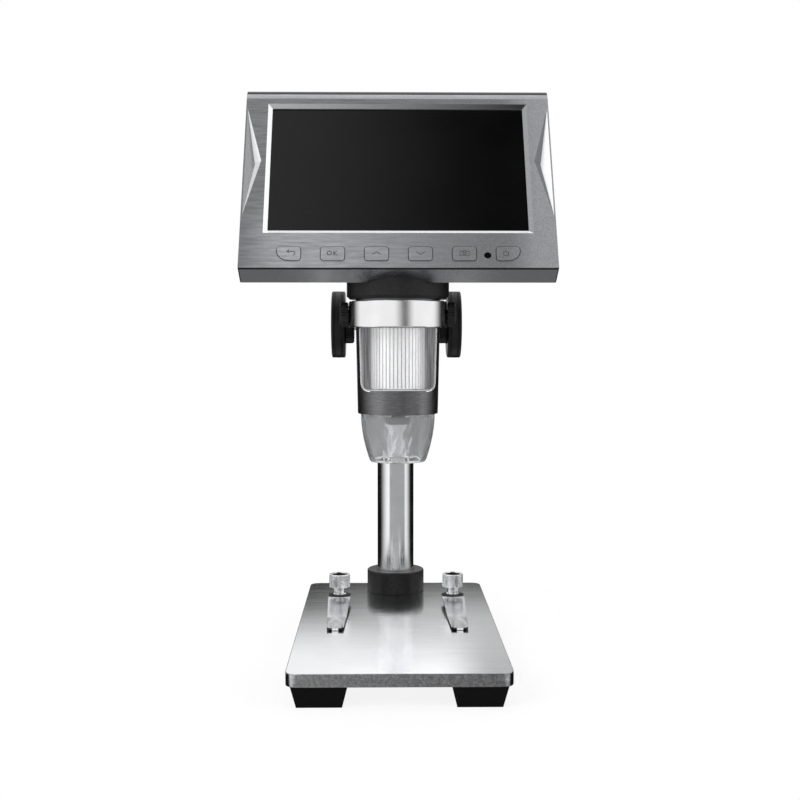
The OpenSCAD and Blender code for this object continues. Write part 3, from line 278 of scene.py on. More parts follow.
def casePaint(name, tone, metal=0.55, wearAndSheen=False):
    # metallic grey paint; for the case and its keys it is brushed on the left and grainy on the right,
    # with a painted sheen of light along its lower left and its right edge
    f = Finish(name, Metallic=metal, Specular_IOR_Level=0.5)
    speck = f.noise(0.55, detail=3, roughness=0.75)
    brush = f.noise(0.8, (0.08, 1, 1), 4, 0.7)
    x, z = f.parts("XZ", f.place())
    mixed = brush + (speck - brush) * f.step(x, -0.03, 0.05) if wearAndSheen else speck * 0.6 + brush * 0.4
    paint = f.tint(f.spread(mixed, 0.34, 0.66), scaled(tone, 0.76), scaled(tone, 1.2))
    if wearAndSheen:
        # painted sheen: lighter paint along the lower left and the right edge
        paintedSheen = f.between(x, -0.062, -0.045, -0.04, 0.04) * (1 - f.step(z, 0.172, 0.19))
        level = paintedSheen * 0.75 + f.step(x, 0.04, 0.056) * 0.62 + 0.9
        level = f.node("ShaderNodeCombineXYZ", None, {0: level, 1: level, 2: level})
        paint = f.tint(1, paint, level, "MULTIPLY")
    return f.feed("Base Color", paint).gloss(speck, 0.38, 0.52).relief(mixed, 0.014).material


def screenGlass():
    f = Finish("screenGlass", Specular_IOR_Level=0.5)
    haze = f.noise(30, detail=1)
    f.colour(haze, (0.001, 0.0011, 0.0012), (0.0018, 0.0019, 0.0021))
    return f.gloss(haze, 0.1, 0.16).material


def clearPlastic():
    # clear below and hazier towards its seat in the tube
    f = Finish("clearPlastic", Base_Color=(0.93, 0.94, 0.95), IOR=1.38, Transmission_Weight=0.88)
    flow = f.noise(6, (1, 1, 0.6), 2)
    z = f.parts("Z", f.place())
    return f.gloss(z + flow * 0.006, 0.03, 0.16, 0.086, 0.106).relief(flow, 0.6).material


def lensGlass():
    f = Finish("lensGlass", IOR=1.5, Base_Color=(0.75, 0.82, 0.95), Transmission_Weight=0.7)
    return f.gloss(f.noise(3, detail=1), 0.01, 0.05).material


def plainPlastic(name, tone, roughness, darker=0.8):
    f = Finish(name)
    grain = f.noise(2, detail=3)
    f.colour(grain, scaled(tone, darker), tone).gloss(grain, roughness * 0.85, roughness * 1.15)
    return f.relief(grain, 0.006).material


def circuitBoard():
    # solder mask with copper tracks showing through as paler lines
    f = Finish("circuitBoard")
    cells = f.node("ShaderNodeTexVoronoi", {"feature": "DISTANCE_TO_EDGE"},
                   {"Vector": f.place(), "Scale": 1 / (2.4 * mm)}, "Distance")
    track = f.spread(cells, 0.02, 0.06, 1, 0)
    f.feed("Base Color", f.tint(track, (0.01, 0.06, 0.028), (0.03, 0.14, 0.06)))
    return f.gloss(track, 0.32, 0.24, 0, 1).relief(track, 0.02).material


finishes = {made.name: made for made in (
    brushedSteel(),
    groundSteel(),
    polishedChrome("columnChrome", 0.13),
    polishedChrome("ringChrome", 0.11, (0.88, 0.88, 0.89)),
    springSteel(),
    plainMetal("screwSteel", (0.94, 0.95, 0.96), 0.19, 0.001),
    # painted light: the roller's silver glows, so that it looks lit inside the tube
    paintedGlowSilver("rollerPaintedGlow", 0.5, 0.26, (1, 1, 0.1), (0.66, 0.66, 0.67), (0.76, 0.76, 0.77), 0.8,
              (0.3, 0.38)),
    boreSilver(),
    plainMetal("rimSilver", (0.85, 0.86, 0.87), 0.18, 0.0008),
    # painted light: a glowing copy of the rim's silver for lit slopes, the window's rims and the clips' feet
    paintedGlowSilver("rimWhite", 0.45, 0.1, None, (0.78, 0.79, 0.8), (0.88, 0.89, 0.9), 0.85, (0.2, 0.28)),
    # painted shade: darker copies of the rim's silver for slopes that face away from the light
    plainMetal("rimPaintedHalfShade", (0.37, 0.375, 0.385), 0.24, 0.0008),
    plainMetal("rimPaintedDeepShade", (0.23, 0.232, 0.238), 0.35),
    rimShade(),
    plainMetal("brass", (0.62, 0.43, 0.16), 0.28),
    turnedDark(),
    plainMetal("slideDark", (0.1, 0.1, 0.105), 0.35),
    blackSatin("blackMetal", (0.012, 0.012, 0.013), 0.3, 0.8, 0.006),
    # painted shade: near-black for the bezel's crest and the edges round its underside
    blackSatin("edgePaintedShade", (0.008, 0.008, 0.009), 0.3, 0.8, 0.004),
    blackSatin("neckBlack", (0.014, 0.014, 0.015), 0.34, 1.4, 0.03),
    blackSatin("knobBlack", (0.014, 0.014, 0.016), 0.38, 0.6, 0.01),
    blackSatin("lensBlack", (0.008, 0.008, 0.009), 0.45, 0.6, 0.006),
    # painted shade: near-black for the screw cups and the clip washers
    blackSatin("cupBlack", (0.006, 0.006, 0.006), 0.6, 0.6, 0.006),
    footRubber(),
    casePaint("caseGrey", (0.225, 0.231, 0.24), wearAndSheen=True),
    polishedChrome("underGrey", 0.24, (0.34, 0.345, 0.355)),
    # painted light: a lighter copy of the case paint for the strip below the crest
    casePaint("crestPaintedLight", (0.42, 0.43, 0.445)),
    casePaint("keyGrey", (0.24, 0.246, 0.256), wearAndSheen=True),
    plainPlastic("signGrey", (0.09, 0.092, 0.096), 0.5),
    casePaint("coverGrey", (0.085, 0.087, 0.092), 0.25),
    screenGlass(),
    clearPlastic(),
    lensGlass(),
    circuitBoard(),
    plainPlastic("boardWhite", (0.72, 0.72, 0.7), 0.4, 0.9),
    plainPlastic("lampWhite", (0.88, 0.86, 0.78), 0.2, 0.92),
    plainPlastic("ribbonFilm", (0.32, 0.17, 0.06), 0.3),
    plainPlastic("cellWrap", (0.02, 0.1, 0.3), 0.25),
)}
print("finishes ready")


# mesh making, in mm
def rounded(points, radius, steps=4):
    # a closed outline with each corner swept round; radius is one value or one per corner
    out = []
    count = len(points)
    for i, corner in enumerate(points):
        r = radius[i] if isinstance(radius, (list, tuple)) else radius
        p, a, b = Vector(corner), Vector(points[i - 1]), Vector(points[(i + 1) % count])
        if r <= 0:
            out.append(tuple(p))
            continue
        start = p + (a - p).normalized() * min(r, (a - p).length / 2)
        end = p + (b - p).normalized() * min(r, (b - p).length / 2)
        for k in range(steps + 1):
            t = k / steps
            out.append(tuple(start * (1 - t) ** 2 + p * 2 * t * (1 - t) + end * t * t))
    return out


def lathe(profile, steps=128, cut=None, ribs=0, wave=(0, 0.5, 1, 0.5)):
    # turns a closed profile of (radius, height) round Z; cut(radius, height) gives each rib's depth
    mesh = bmesh.new()
    steps = ribs * len(wave) if ribs else steps
    rows = []
    for i in range(steps):
        angle = 2 * math.pi * i / steps
        row = []
        for r, h in profile:
            radius = r - (cut(r, h) * wave[i % len(wave)] if cut else 0)
            row.append(mesh.verts.new((radius * math.cos(angle), radius * math.sin(angle), h)))
        rows.append(row)
    count = len(profile)
    for i in range(steps):
        here, there = rows[i], rows[(i + 1) % steps]
        for k in range(count):
            n = (k + 1) % count
            if profile[k][0] < 1e-6 and profile[n][0] < 1e-6:
                continue
            mesh.faces.new((here[k], there[k], there[n], here[n]))
    bmesh.ops.remove_doubles(mesh, verts=mesh.verts, dist=1e-4)
    bmesh.ops.dissolve_degenerate(mesh, edges=mesh.edges, dist=1e-5)
    bmesh.ops.recalc_face_normals(mesh, faces=mesh.faces)
    return mesh


def prism(outline, low, high, lowOutline=None):
    # an outline in (x, y) from one height to another, with another outline below if it tapers
    mesh = bmesh.new()
    bottom = [mesh.verts.new((x, y, low)) for x, y in (lowOutline or outline)]
    top = [mesh.verts.new((x, y, high)) for x, y in outline]
    mesh.faces.new(bottom[::-1])
    mesh.faces.new(top)
    count = len(outline)
    for i in range(count):
        n = (i + 1) % count
        mesh.faces.new((bottom[i], bottom[n], top[n], top[i]))
    bmesh.ops.recalc_face_normals(mesh, faces=mesh.faces)
    return mesh


def block(low, high):
    (x0, y0, z0), (x1, y1, z1) = low, high
    return prism([(x0, y0), (x1, y0), (x1, y1), (x0, y1)], z0, z1)


def circle(x, y, r, steps=32, start=0, end=360):
    last = steps if end - start == 360 else steps + 1
    angles = [math.radians(start + (end - start) * i / steps) for i in range(last)]
    return [(x + r * math.cos(angle), y + r * math.sin(angle)) for angle in angles]


def moved(mesh, matrix):
    bmesh.ops.transform(mesh, matrix=matrix, verts=mesh.verts)
    return mesh


def shifted(mesh, x, y):
    return moved(mesh, Matrix.Translation((x, y, 0)))


def joined(*meshes):
    whole = bmesh.new()
    for part in meshes:
        data = bpy.data.meshes.new("part")
        part.to_mesh(data)
        whole.from_mesh(data)
        bpy.data.meshes.remove(data)
        part.free()
    return whole


def looseObject(name, mesh, materials):
    data = bpy.data.meshes.new(name)
    mesh.to_mesh(data)
    mesh.free()
    made = bpy.data.objects.new(name, data)
    for finish in materials:
        data.materials.append(finishes[finish])
    bpy.context.scene.collection.objects.link(made)
    return made


def settled(made):
    # applies the modifiers
    view = bpy.context.evaluated_depsgraph_get()
    data = bpy.data.meshes.new_from_object(made.evaluated_get(view))
    old = made.data
    made.modifiers.clear()
    made.data = data
    bpy.data.meshes.remove(old)


def cutOut(made, *cutters, operation="DIFFERENCE"):
    for mesh in cutters:
        tool = looseObject("cutter", mesh, made.data.materials.keys())
        step = made.modifiers.new("cut", "BOOLEAN")
        step.operation = operation
        step.solver = "EXACT"
        step.material_mode = "INDEX"
        step.object = tool
        settled(made)
        bpy.data.objects.remove(tool)


def shaded(made, angle):
    # smooth up to an angle; big faces keep their own normal, also beside a rounded edge
    made.data.shade_smooth()
    made.data.set_sharp_from_angle(angle=math.radians(angle))
    step = made.modifiers.new("normals", "WEIGHTED_NORMAL")
    step.keep_sharp = True


def softEdges(made, width, segments=2, angle=28, apply=False):
    # width is in mm; apply is for pieces that are still drawn in mm
    step = made.modifiers.new("edges", "BEVEL")
    step.width = width * (1 if apply else mm)
    step.segments = segments
    step.limit_method = "ANGLE"
    step.angle_limit = math.radians(angle)
    if apply:
        settled(made)


def finished(made, body, replaces=(), smooth=35):
    # scales a piece from mm to metres and lets it ride on its body
    made.data.transform(Matrix.Scale(mm, 4))
    shaded(made, smooth)
    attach(made, body)
    if replaces:
        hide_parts(*replaces)


def piece(name, mesh, finish, body, replaces=(), smooth=35):
    made = looseObject(name, mesh, finish if isinstance(finish, list) else [finish])
    finished(made, body, replaces, smooth)


def dress(names, finish, edge=0):
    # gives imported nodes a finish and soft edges
    for name in names:
        node = nodes[name]
        node.data.materials.clear()
        node.data.materials.append(finishes[finish])
        if edge:
            softEdges(node, edge)
        shaded(node, 30)


# stand
plate = {"corner": 5, "edge": 0.3, "recess": 5.15, "recessDeep": 2.9}
plateTop = boxMm("base_plate")[1].z


def basePlate():
    low, high = boxMm("base_plate")
    outline = [(low.x, low.y), (high.x, low.y), (high.x, high.y), (low.x, high.y)]
    made = looseObject("basePlate", prism(rounded(outline, plate["corner"], 10), low.z, high.z),
                       ["brushedSteel", "groundSteel"])
    middle = centreMm("column_screw")
    cutOut(made, prism(circle(middle.x, middle.y, plate["recess"]), low.z - 1, low.z + plate["recessDeep"]))
    softEdges(made, plate["edge"], 3, apply=True)
    for face in made.data.polygons:
        if abs(face.normal.z) < 0.8:
            face.material_index = 1
    finished(made, "base", ["base_plate"])


pole = {"edge": 1, "collarFit": 0.02, "collarEdges": [0, 0.3, 0.9, 0.4]}


def column():
    low, high = boxMm("column")
    r = (high.x - low.x) / 2
    outline = [(0, low.z), (r, low.z), (r, high.z), (0, high.z)]
    mesh = lathe(rounded(outline, [0, 0, pole["edge"], 0], 5), 160)
    shifted(mesh, 0, (low.y + high.y) / 2)
    piece("column", mesh, "columnChrome", "base", ["column"])


def collar():
    low, high = boxMm("column_collar")
    r = (high.x - low.x) / 2
    hole = boxMm("column")[1].x + pole["collarFit"]
    outline = [(hole, low.z), (r, low.z), (r, high.z), (hole, high.z)]
    mesh = shifted(lathe(rounded(outline, pole["collarEdges"], 5), 160), 0, (low.y + high.y) / 2)
    piece("columnCollar", mesh, "blackMetal", "base", ["column_collar"])


clip = {"padRear": 5.2, "padFront": 5.5, "blend": 1.5, "bend": 34.5, "short": 2.8, "rear": 5.2, "front": 3.45,
        "corner": 1.2, "thick": 0.62, "padZ": 2.9, "bendZ": 0.6, "tipZ": 0.7, "bead": 0.22, "beadWide": 1.05,
        "foot": 1.3, "footFront": 0.06, "footLong": 2, "rest": 0.2, "overlap": 0.04, "across": 24,
        "along": 72, "crowd": 0.75}


def smoothstep(a, b, value):
    t = min(1, max(0, (value - a) / (b - a)))
    return t * t * (3 - 2 * t)


def stageClip(side):
    # a spring strip: flat pad, slope, a tip that lifts, and under it the foot that rests on the plate
    c = clip
    node = "clip_" + side
    centre = centreMm("thumb_screw_" + side)
    reach = centre.y - boxMm(node)[0].y - c["short"]
    mesh = bmesh.new()
    rows = []
    for i in range(c["along"] + 1):
        t = i / c["along"]
        # closer rows near the round rear end and the tip
        t -= math.sin(2 * math.pi * t) / (2 * math.pi) * c["crowd"]
        forward = (c["padRear"] + reach) * t - c["padRear"]
        if forward < 0:
            half = math.sqrt(max(c["rear"] ** 2 - forward ** 2, 0.01))
        else:
            half = c["rear"] + (c["front"] - c["rear"]) * forward / reach
        past = forward - reach + c["corner"]
        if past > 0:
            half -= c["corner"] - math.sqrt(max(c["corner"] ** 2 - past ** 2, 0))
        slope = smoothstep(c["padFront"] - c["blend"], c["padFront"] + c["blend"], forward)
        down = min(1, (forward - c["padFront"]) / (c["bend"] - c["padFront"]))
        rise = max(0, (forward - c["bend"]) / (reach - c["bend"]))
        z = c["padZ"] + slope * down * (c["bendZ"] - c["padZ"]) + rise * (c["tipZ"] - c["bendZ"])
        row = []
        for k in range(c["across"] + 1):
            x = half * (2 * k / c["across"] - 1)
            # a low half oval is pressed down into the tip
            off = math.hypot(x / c["front"] * c["beadWide"], (reach - forward) / (reach - c["bend"]))
            row.append(mesh.verts.new((x, -forward, z - c["bead"] * (1 - smoothstep(0.8, 1, off)))))
        rows.append(row)
    for a, b in zip(rows, rows[1:]):
        for k in range(c["across"]):
            mesh.faces.new((a[k], b[k], b[k + 1], a[k + 1]))
    bmesh.ops.recalc_face_normals(mesh, faces=mesh.faces)
    if mesh.faces[0].normal.z < 0:
        bmesh.ops.reverse_faces(mesh, faces=mesh.faces)
    made = looseObject("stageClip" + side.title(), mesh, ["springSteel", "blackMetal", "rimWhite"])
    # painted shade: the strip's sides and its underside are black, for the shade under the raised strip
    step = made.modifiers.new("thick", "SOLIDIFY")
    step.thickness = c["thick"]
    step.offset = 1
    step.material_offset_rim = 1
    settled(made)
    for face in made.data.polygons:
        if face.normal.z < -0.5:
            face.material_index = 1
    foot = block((-c["foot"], -reach - c["footFront"], c["rest"]),
                 (c["foot"], c["footLong"] - reach, c["tipZ"] + c["thick"] - c["bead"] - c["overlap"]))
    # painted light: the foot under the tip glows
    for face in foot.faces:
        face.material_index = 2
    foot.from_mesh(made.data)
    foot.to_mesh(made.data)
    foot.free()
    made.data.transform(Matrix.Translation((centre.x, centre.y, plateTop)))
    finished(made, node, [node], 40)


thumb = {"threadR": 1.5, "baseR": 3.0, "baseH": 0.5, "neckR": 2.3, "flareR": 2.7, "neckH": 2.9, "step": 0.15,
         "headR": 4.72, "headH": 6, "edge": 0.45, "turn": 0.12, "ribs": 32, "rib": 0.36,
         "cup": [(3.75, 0), (3.55, 0.3), (3.25, 3.0), (0, 3.0)]}
washer = {"inner": 1.7, "outer": 5.1, "thick": 0.2, "sink": 0.02}


def thumbScrew(side):
    node = "thumb_screw_" + side
    low, high = boxMm(node)
    t = thumb
    head = high.z - t["headH"]
    base = head - t["neckH"] - t["baseH"]
    neck = base + t["baseH"] + t["step"]
    profile = [(0, low.z), (t["threadR"], low.z), (t["threadR"], base), (t["baseR"], base),
               (t["baseR"], base + t["baseH"]), (t["neckR"], neck)]
    for i in range(1, 7):
        k = i / 6
        profile.append((t["neckR"] + (t["flareR"] - t["neckR"]) * k ** 2,
                        neck + (t["neckH"] - t["step"]) * k))
    flat, turned = t["headR"] - t["edge"], t["headR"] - t["turn"]
    profile += [(flat, head), (turned, head + t["turn"]), (t["headR"], head + t["edge"]),
                (t["headR"], high.z - t["edge"]), (turned, high.z - t["turn"]), (flat, high.z)]
    profile += [(r, high.z - down) for r, down in t["cup"]]
    mesh = lathe(profile, ribs=t["ribs"], cut=lambda r, h: t["rib"] if r > t["headR"] - 0.2 else 0,
                 wave=(0, 0, 1, 1))
    # painted shade: the inside of the cup is near-black
    for face in mesh.faces:
        middle = face.calc_center_median()
        if middle.z > head + 1 and middle.xy.length < t["cup"][0][0] - 0.12:
            face.material_index = 1
    centre = centreMm(node)
    shifted(mesh, centre.x, centre.y)
    piece("thumbScrew" + side.title(), mesh, ["screwSteel", "cupBlack"], node, [node], 25)


def clipWasher(side):
    # a thin washer between the clip's pad and its screw, near-black as painted shade under the screw's head
    centre = centreMm("thumb_screw_" + side)
    w = washer
    pad = plateTop + clip["padZ"] + clip["thick"] - w["sink"]
    mesh = lathe([(w["inner"], pad), (w["outer"], pad), (w["outer"], pad + w["thick"]),
                  (w["inner"], pad + w["thick"])])
    shifted(mesh, centre.x, centre.y)
    piece("clipWasher" + side.title(), mesh, "cupBlack", "clip_" + side)


basePlate()
column()
collar()
for side in ("left", "right"):
    stageClip(side)
    thumbScrew(side)
    clipWasher(side)
dress(["feet"], "footRubber", 0.35)
dress(["foot_screws", "column_screw", "clip_posts"], "screwSteel", 0.1)
print("stand ready")


# focus drive
def outward(name, side):
    # a side piece's way along X, its inner and outer ends on that way, and the middle of its box
    low, high = boxMm(name)
    sign = 1 if side == "right" else -1
    inner, outer = (low.x, high.x) if sign > 0 else (-high.x, -low.x)
    return sign, inner, outer, (low + high) / 2


def sideways(mesh, sign, middle):
    # lays a turned piece along X, pointing outwards
    moved(mesh, Matrix.Rotation(math.radians(90) * sign, 4, "Y"))
    return moved(mesh, Matrix.Translation((0, middle.y, middle.z)))


knob = {"hubR": 8.45, "hubLen": 3.9, "rimR": 14.9, "rimT": 6, "dome": 0.4, "edge": 0.5, "grooveDeep": 0.18,
        "grooveHalf": 0.12, "grooves": (1.1, 1.6)}


def focusKnob(side):
    node = "focus_knob_" + side
    sign, start, _, middle = outward(node, side)
    k = knob
    rim = start + k["hubLen"]
    outer = rim + k["rimT"]
    profile = [(0, start), (k["hubR"] - 0.9, start), (k["hubR"] - 0.3, start + 0.25),
               (k["hubR"], start + 0.9), (k["hubR"], rim - 0.3), (k["hubR"] + 0.3, rim),
               (k["rimR"] - 0.8, rim), (k["rimR"] - 0.2, rim + 0.2), (k["rimR"], rim + 0.8)]
    # two turned grooves beside each edge of the rim
    half = k["grooveHalf"]
    for place in (*k["grooves"], *(k["rimT"] - groove for groove in k["grooves"][::-1])):
        profile += [(k["rimR"], rim + place - half), (k["rimR"] - k["grooveDeep"], rim + place),
                    (k["rimR"], rim + place + half)]
    profile += [(k["rimR"], outer - k["edge"]), (k["rimR"] - 0.15, outer - 0.15),
                (k["rimR"] - k["edge"], outer)]
    for i in range(1, 9):
        share = 1 - i / 8
        profile.append(((k["rimR"] - k["edge"]) * share, outer + k["dome"] * (1 - share ** 2)))
    mesh = sideways(lathe(profile, 160), sign, middle)
    piece("focusKnob" + side.title(), mesh, "knobBlack", "pinion", [node], 40)


for side in ("left", "right"):
    focusKnob(side)
dress(["focus_block"], "blackMetal", 0.5)
dress(["lock_knob"], "knobBlack", 0.12)
dress(["pinion_bushes", "pinion_gear", "focus_rack"], "brass", 0.05)
dress(["pinion_shaft", "arm_screws"], "screwSteel", 0.12)
dress(["slide_bar"], "slideDark", 0.3)
dress(["holder_arm"], "slideDark", 0.5)

ring = {"edge": 0.4, "runs": 0.08}


def holderRing():
    low, high = boxMm("holder_ring")
    r = (high.x - low.x) / 2
    bore = boxMm("tube_body")[1].x + ring["runs"]
    profile = rounded([(bore, low.z), (r, low.z), (r, high.z), (bore, high.z)], ring["edge"], 4)
    mesh = shifted(lathe(profile, 192), 0, (low.y + high.y) / 2)
    piece("holderRing", mesh, "ringChrome", "slide", ["holder_ring"])


lug = {"shankR": 2, "headR": 4.9, "headT": 3.4, "edge": 0.4, "ribs": 30, "rib": 0.28, "round": 1.1}


def ringScrew(side):
    node = "ring_screw_" + side
    sign, tip, outer, middle = outward(node, side)
    k = lug
    head = outer - k["headT"]
    profile = [(0, tip), (k["shankR"], tip), (k["shankR"], head), (k["headR"] - k["edge"], head),
               (k["headR"], head + k["edge"]), (k["headR"], outer - k["round"]),
               (k["headR"] - 0.25, outer - k["round"] * 0.45), (k["headR"] - 0.8, outer - 0.1),
               (k["headR"] - 1.3, outer), (0, outer)]
    mesh = lathe(profile, ribs=k["ribs"], cut=lambda r, h: k["rib"] if r > k["headR"] - 0.3 else 0)
    sideways(mesh, sign, middle)
    piece("ringScrew" + side.title(), mesh, "blackMetal", node, [node], 30)


holderRing()
for side in ("left", "right"):
    ringScrew(side)
print("focus drive ready")


# tube
tube = {"wall": 1.65, "grip": 11.8, "sill": 9.6, "web": 3.1, "lowR": 16.05, "seatT": 1.4, "runs": 0.08,
        "rise": 0.4, "windowTop": 29.7, "windowLow": 28.5, "corner": 3.2}
tubeLow, tubeHigh = boxMm("tube_body")
tubeY = (tubeLow.y + tubeHigh.y) / 2
tubeR = (tubeHigh.x - tubeLow.x) / 2
gripZ = tubeHigh.z - tube["grip"]
windowTop = gripZ + tube["rise"]
seatR = tube["lowR"] - tube["seatT"]
barrelBore = boxMm("lens_barrel")[1].x + tube["runs"]


def windowOutline(grow):
    low = tubeLow.z + tube["sill"] - grow
    half, halfLow = tube["windowTop"] / 2 + grow, tube["windowLow"] / 2 + grow
    return rounded([(-halfLow, low), (halfLow, low), (half, windowTop), (-half, windowTop)],
                   [tube["corner"] + grow, tube["corner"] + grow, 0, 0], 8)


def tubeBody():
    low, high, lowR = tubeLow.z, tubeHigh.z, tube["lowR"]
    bore, web, sill = tubeR - tube["wall"], low + tube["web"], low + tube["sill"]
    profile = [(barrelBore, web), (seatR, web), (seatR, low), (lowR - 0.35, low), (lowR - 0.08, low + 0.1),
               (lowR, low + 0.4), (tubeR, gripZ), (tubeR, high), (bore, high), (bore, sill),
               (barrelBore, sill)]
    mesh = lathe(profile, 192)
    for face in mesh.faces:
        middle = face.calc_center_median()
        if middle.xy.length < bore + 0.1 and middle.z > web:
            face.material_index = 1
    made = looseObject("tubeBody", mesh, ["turnedDark", "boreSilver"])
    window = prism(windowOutline(0), 0, tubeR + 4)
    for face in window.faces:
        face.material_index = 1
    cutOut(made, moved(window, Matrix.Rotation(math.radians(90), 4, "X")))
    made.data.transform(Matrix.Translation((0, tubeY, 0)))
    finished(made, "head", ["tube_body"], 35)


rim = {"inner": -0.12, "outer": 0.55, "outerLift": 0.03, "middleLift": 0.05, "back": 0.5, "deep": 1.0}


def windowRim():
    # the chamfer that follows the window's edge on the tube's outside, bright from its own shine and a
    # painted glow
    inner, outer = windowOutline(rim["inner"]), windowOutline(rim["outer"])

    def onTube(x, z, lift=0, back=0):
        share = min(1, max(0, (z - tubeLow.z) / (gripZ - tubeLow.z)))
        radius = tube["lowR"] + (tubeR - tube["lowR"]) * share + lift
        return x, tubeY - math.sqrt(max(radius ** 2 - x ** 2, 0)) + back, z

    mesh = bmesh.new()
    rows = []
    # the open side of the U is at the top, so the strip starts at one upper corner and ends at the other
    for i in range(-1, len(inner) - 1):
        (xi, zi), (xo, zo) = inner[i], outer[i]
        places = (onTube(xo, zo, rim["outerLift"]), onTube((xi + xo) / 2, (zi + zo) / 2, rim["middleLift"]),
                  onTube(xi, zi, back=rim["back"]), onTube(xi, zi, back=rim["deep"]))
        rows.append([mesh.verts.new(place) for place in places])
    for a, b in zip(rows, rows[1:]):
        for k in range(3):
            mesh.faces.new((a[k], b[k], b[k + 1], a[k + 1]))
    bmesh.ops.recalc_face_normals(mesh, faces=mesh.faces)
    piece("windowRim", mesh, "rimWhite", "head", smooth=60)


roller = {"ribs": 44, "rib": 0.3, "edge": 0.4}


def focusRoller():
    low, high = boxMm("focus_roller")
    r, e = (high.x - low.x) / 2, roller["edge"]
    profile = [(barrelBore, low.z), (r - e, low.z), (r, low.z + e), (r, high.z - e), (r - e, high.z),
               (barrelBore, high.z)]
    mesh = lathe(profile, ribs=roller["ribs"], cut=lambda q, h: roller["rib"] if q > r - 0.1 else 0,
                 wave=(0, 0, 0, 0, 0, 0, 1))
    # the grooves' slopes get a brighter silver, as a painted highlight
    for face in mesh.faces:
        middle = face.calc_center_median()
        if barrelBore + 1 < middle.xy.length < r - 0.05 and low.z + e < middle.z < high.z - e:
            face.material_index = 1
    shifted(mesh, 0, tubeY)
    piece("focusRoller", mesh, ["rollerPaintedGlow", "rimSilver"], "roller", ["focus_roller"], 25)


shroud = {"top": 14.8, "mouth": 11.1, "lip": 2.2, "lipT": 1.0, "wall": 1.4, "curve": 1.9, "steps": 22,
          "gap": 0.05}


def clearShroud():
    low, high = boxMm("shroud")
    s = shroud
    join = tubeLow.z
    length = join - low.z

    def radius(k):
        return s["top"] - (s["top"] - s["mouth"]) * k ** s["curve"]

    steps = s["steps"]
    outer = [(radius(i / steps), join - length * i / steps) for i in range(steps + 1)]
    inner = [(radius(i / steps) - s["wall"], join - (length - s["lipT"]) * i / steps)
             for i in range(steps, -1, -1)]
    lipR = s["mouth"] - s["lip"]
    plug = seatR - s["gap"]
    profile = [(plug, high.z), (plug, join + s["gap"]), (s["top"], join - 0.02)] + outer[1:-1]
    profile += [(s["mouth"] + 0.05, low.z + 0.35), (s["mouth"] - 0.3, low.z), (lipR, low.z),
                (lipR, low.z + s["lipT"])]
    profile += inner + [(seatR - s["wall"], high.z)]
    mesh = shifted(lathe(profile, 160), 0, tubeY)
    piece("clearShroud", mesh, "clearPlastic", "head", ["shroud"], 50)


tubeBody()
windowRim()
focusRoller()
clearShroud()
dress(["neck_disc"], "neckBlack")
dress(["retaining_ring", "lens_barrel"], "lensBlack")
dress(["objective_lenses"], "lensGlass")
dress(["led_board"], "boardWhite")
dress(["led_lamps"], "lampWhite")
dress(["sensor_board"], "circuitBoard")
dress(["sensor_cable", "screen_cable"], "ribbonFilm")
print("tube ready")


# screen housing, drawn on its face: x across, s up the face, w out of it
case = {"tilt": 26.7, "half": 61, "height": 81.6, "reach": 2.5, "round": 7, "deep": 9.7, "flare": 0.83,
        "wall": 1.6, "edge": 0.32, "lowEdge": 0.5, "corner": 1.8, "crest": 18, "trim": 0.02,
        "cavityHalf": 53.25, "cavityLow": 1.8, "cavityHigh": 79.9,
        "looks": ["caseGrey", "rimWhite", "edgePaintedShade", "rimShade", "rimPaintedHalfShade", "rimPaintedDeepShade", "underGrey",
                  "crestPaintedLight"]}
caseLow = boxMm("front_bezel")[0]
caseTilt = math.radians(case["tilt"])
faceStart = Vector((0, caseLow.y, caseLow.z + case["deep"] * math.sin(caseTilt)
                    + case["flare"] * math.cos(caseTilt)))
faceMatrix = Matrix.Translation(faceStart) @ Matrix.Rotation(math.radians(90 - case["tilt"]), 4, "X")
screen = {"halfW": 50.45, "low": 17.5, "high": 74.9, "bevel": 1.65, "bevelDeep": 1.1, "out": 0.5,
          "looks": ["rimWhite"] * 3 + ["rimPaintedHalfShade", "rimShade", "rimWhite"]}
notch = {"start": 60.4, "low": 23.9, "high": 74.1, "apex": 54.0, "deepX": 56.7, "deep": 2.5, "out": 0.6,
         "leftLooks": ["rimPaintedHalfShade", "rimWhite", "rimWhite", "caseGrey"],
         "rightLooks": ["rimWhite", "rimPaintedDeepShade", "rimPaintedDeepShade", "caseGrey"]}
keys = {"pitch": 16.75, "w": 9.05, "h": 6.0, "up": 6.57, "out": 0.4, "corner": 1.3, "big": 4.6, "edge": 0.3,
        "gap": 0.26, "flange": 0.9, "flangeTop": -1.75, "flangeT": 0.8, "stem": -3.4, "stemR": 1.5,
        "lap": 0.1, "stroke": 0.32, "strokeOut": 0.05, "signUp": 0.1, "signShift": {0: 0.9, 5: -0.9}}
indicator = {"x": 34, "up": 5.97, "r": 1.4}


def keyX(i):
    return (i - 2.5) * keys["pitch"]


def keyOutline(i, grow):
    w, h = keys["w"] / 2 + grow, keys["h"] / 2 + grow
    r, big = keys["corner"] + grow, keys["big"] + grow
    left = big if i == 0 else r
    right = big if i == 5 else r
    x, y = keyX(i), keys["up"]
    out = circle(x + w - right, y - h + right, right, 8, -90, 0)
    out += circle(x + w - r, y + h - r, r, 8, 0, 90)
    out += circle(x - w + r, y + h - r, r, 8, 90, 180)
    return out + circle(x - w + left, y - h + left, left, 8, 180, 270)


def paint(faces, looks):
    for face, name in zip(faces, looks):
        face.material_index = case["looks"].index(name)


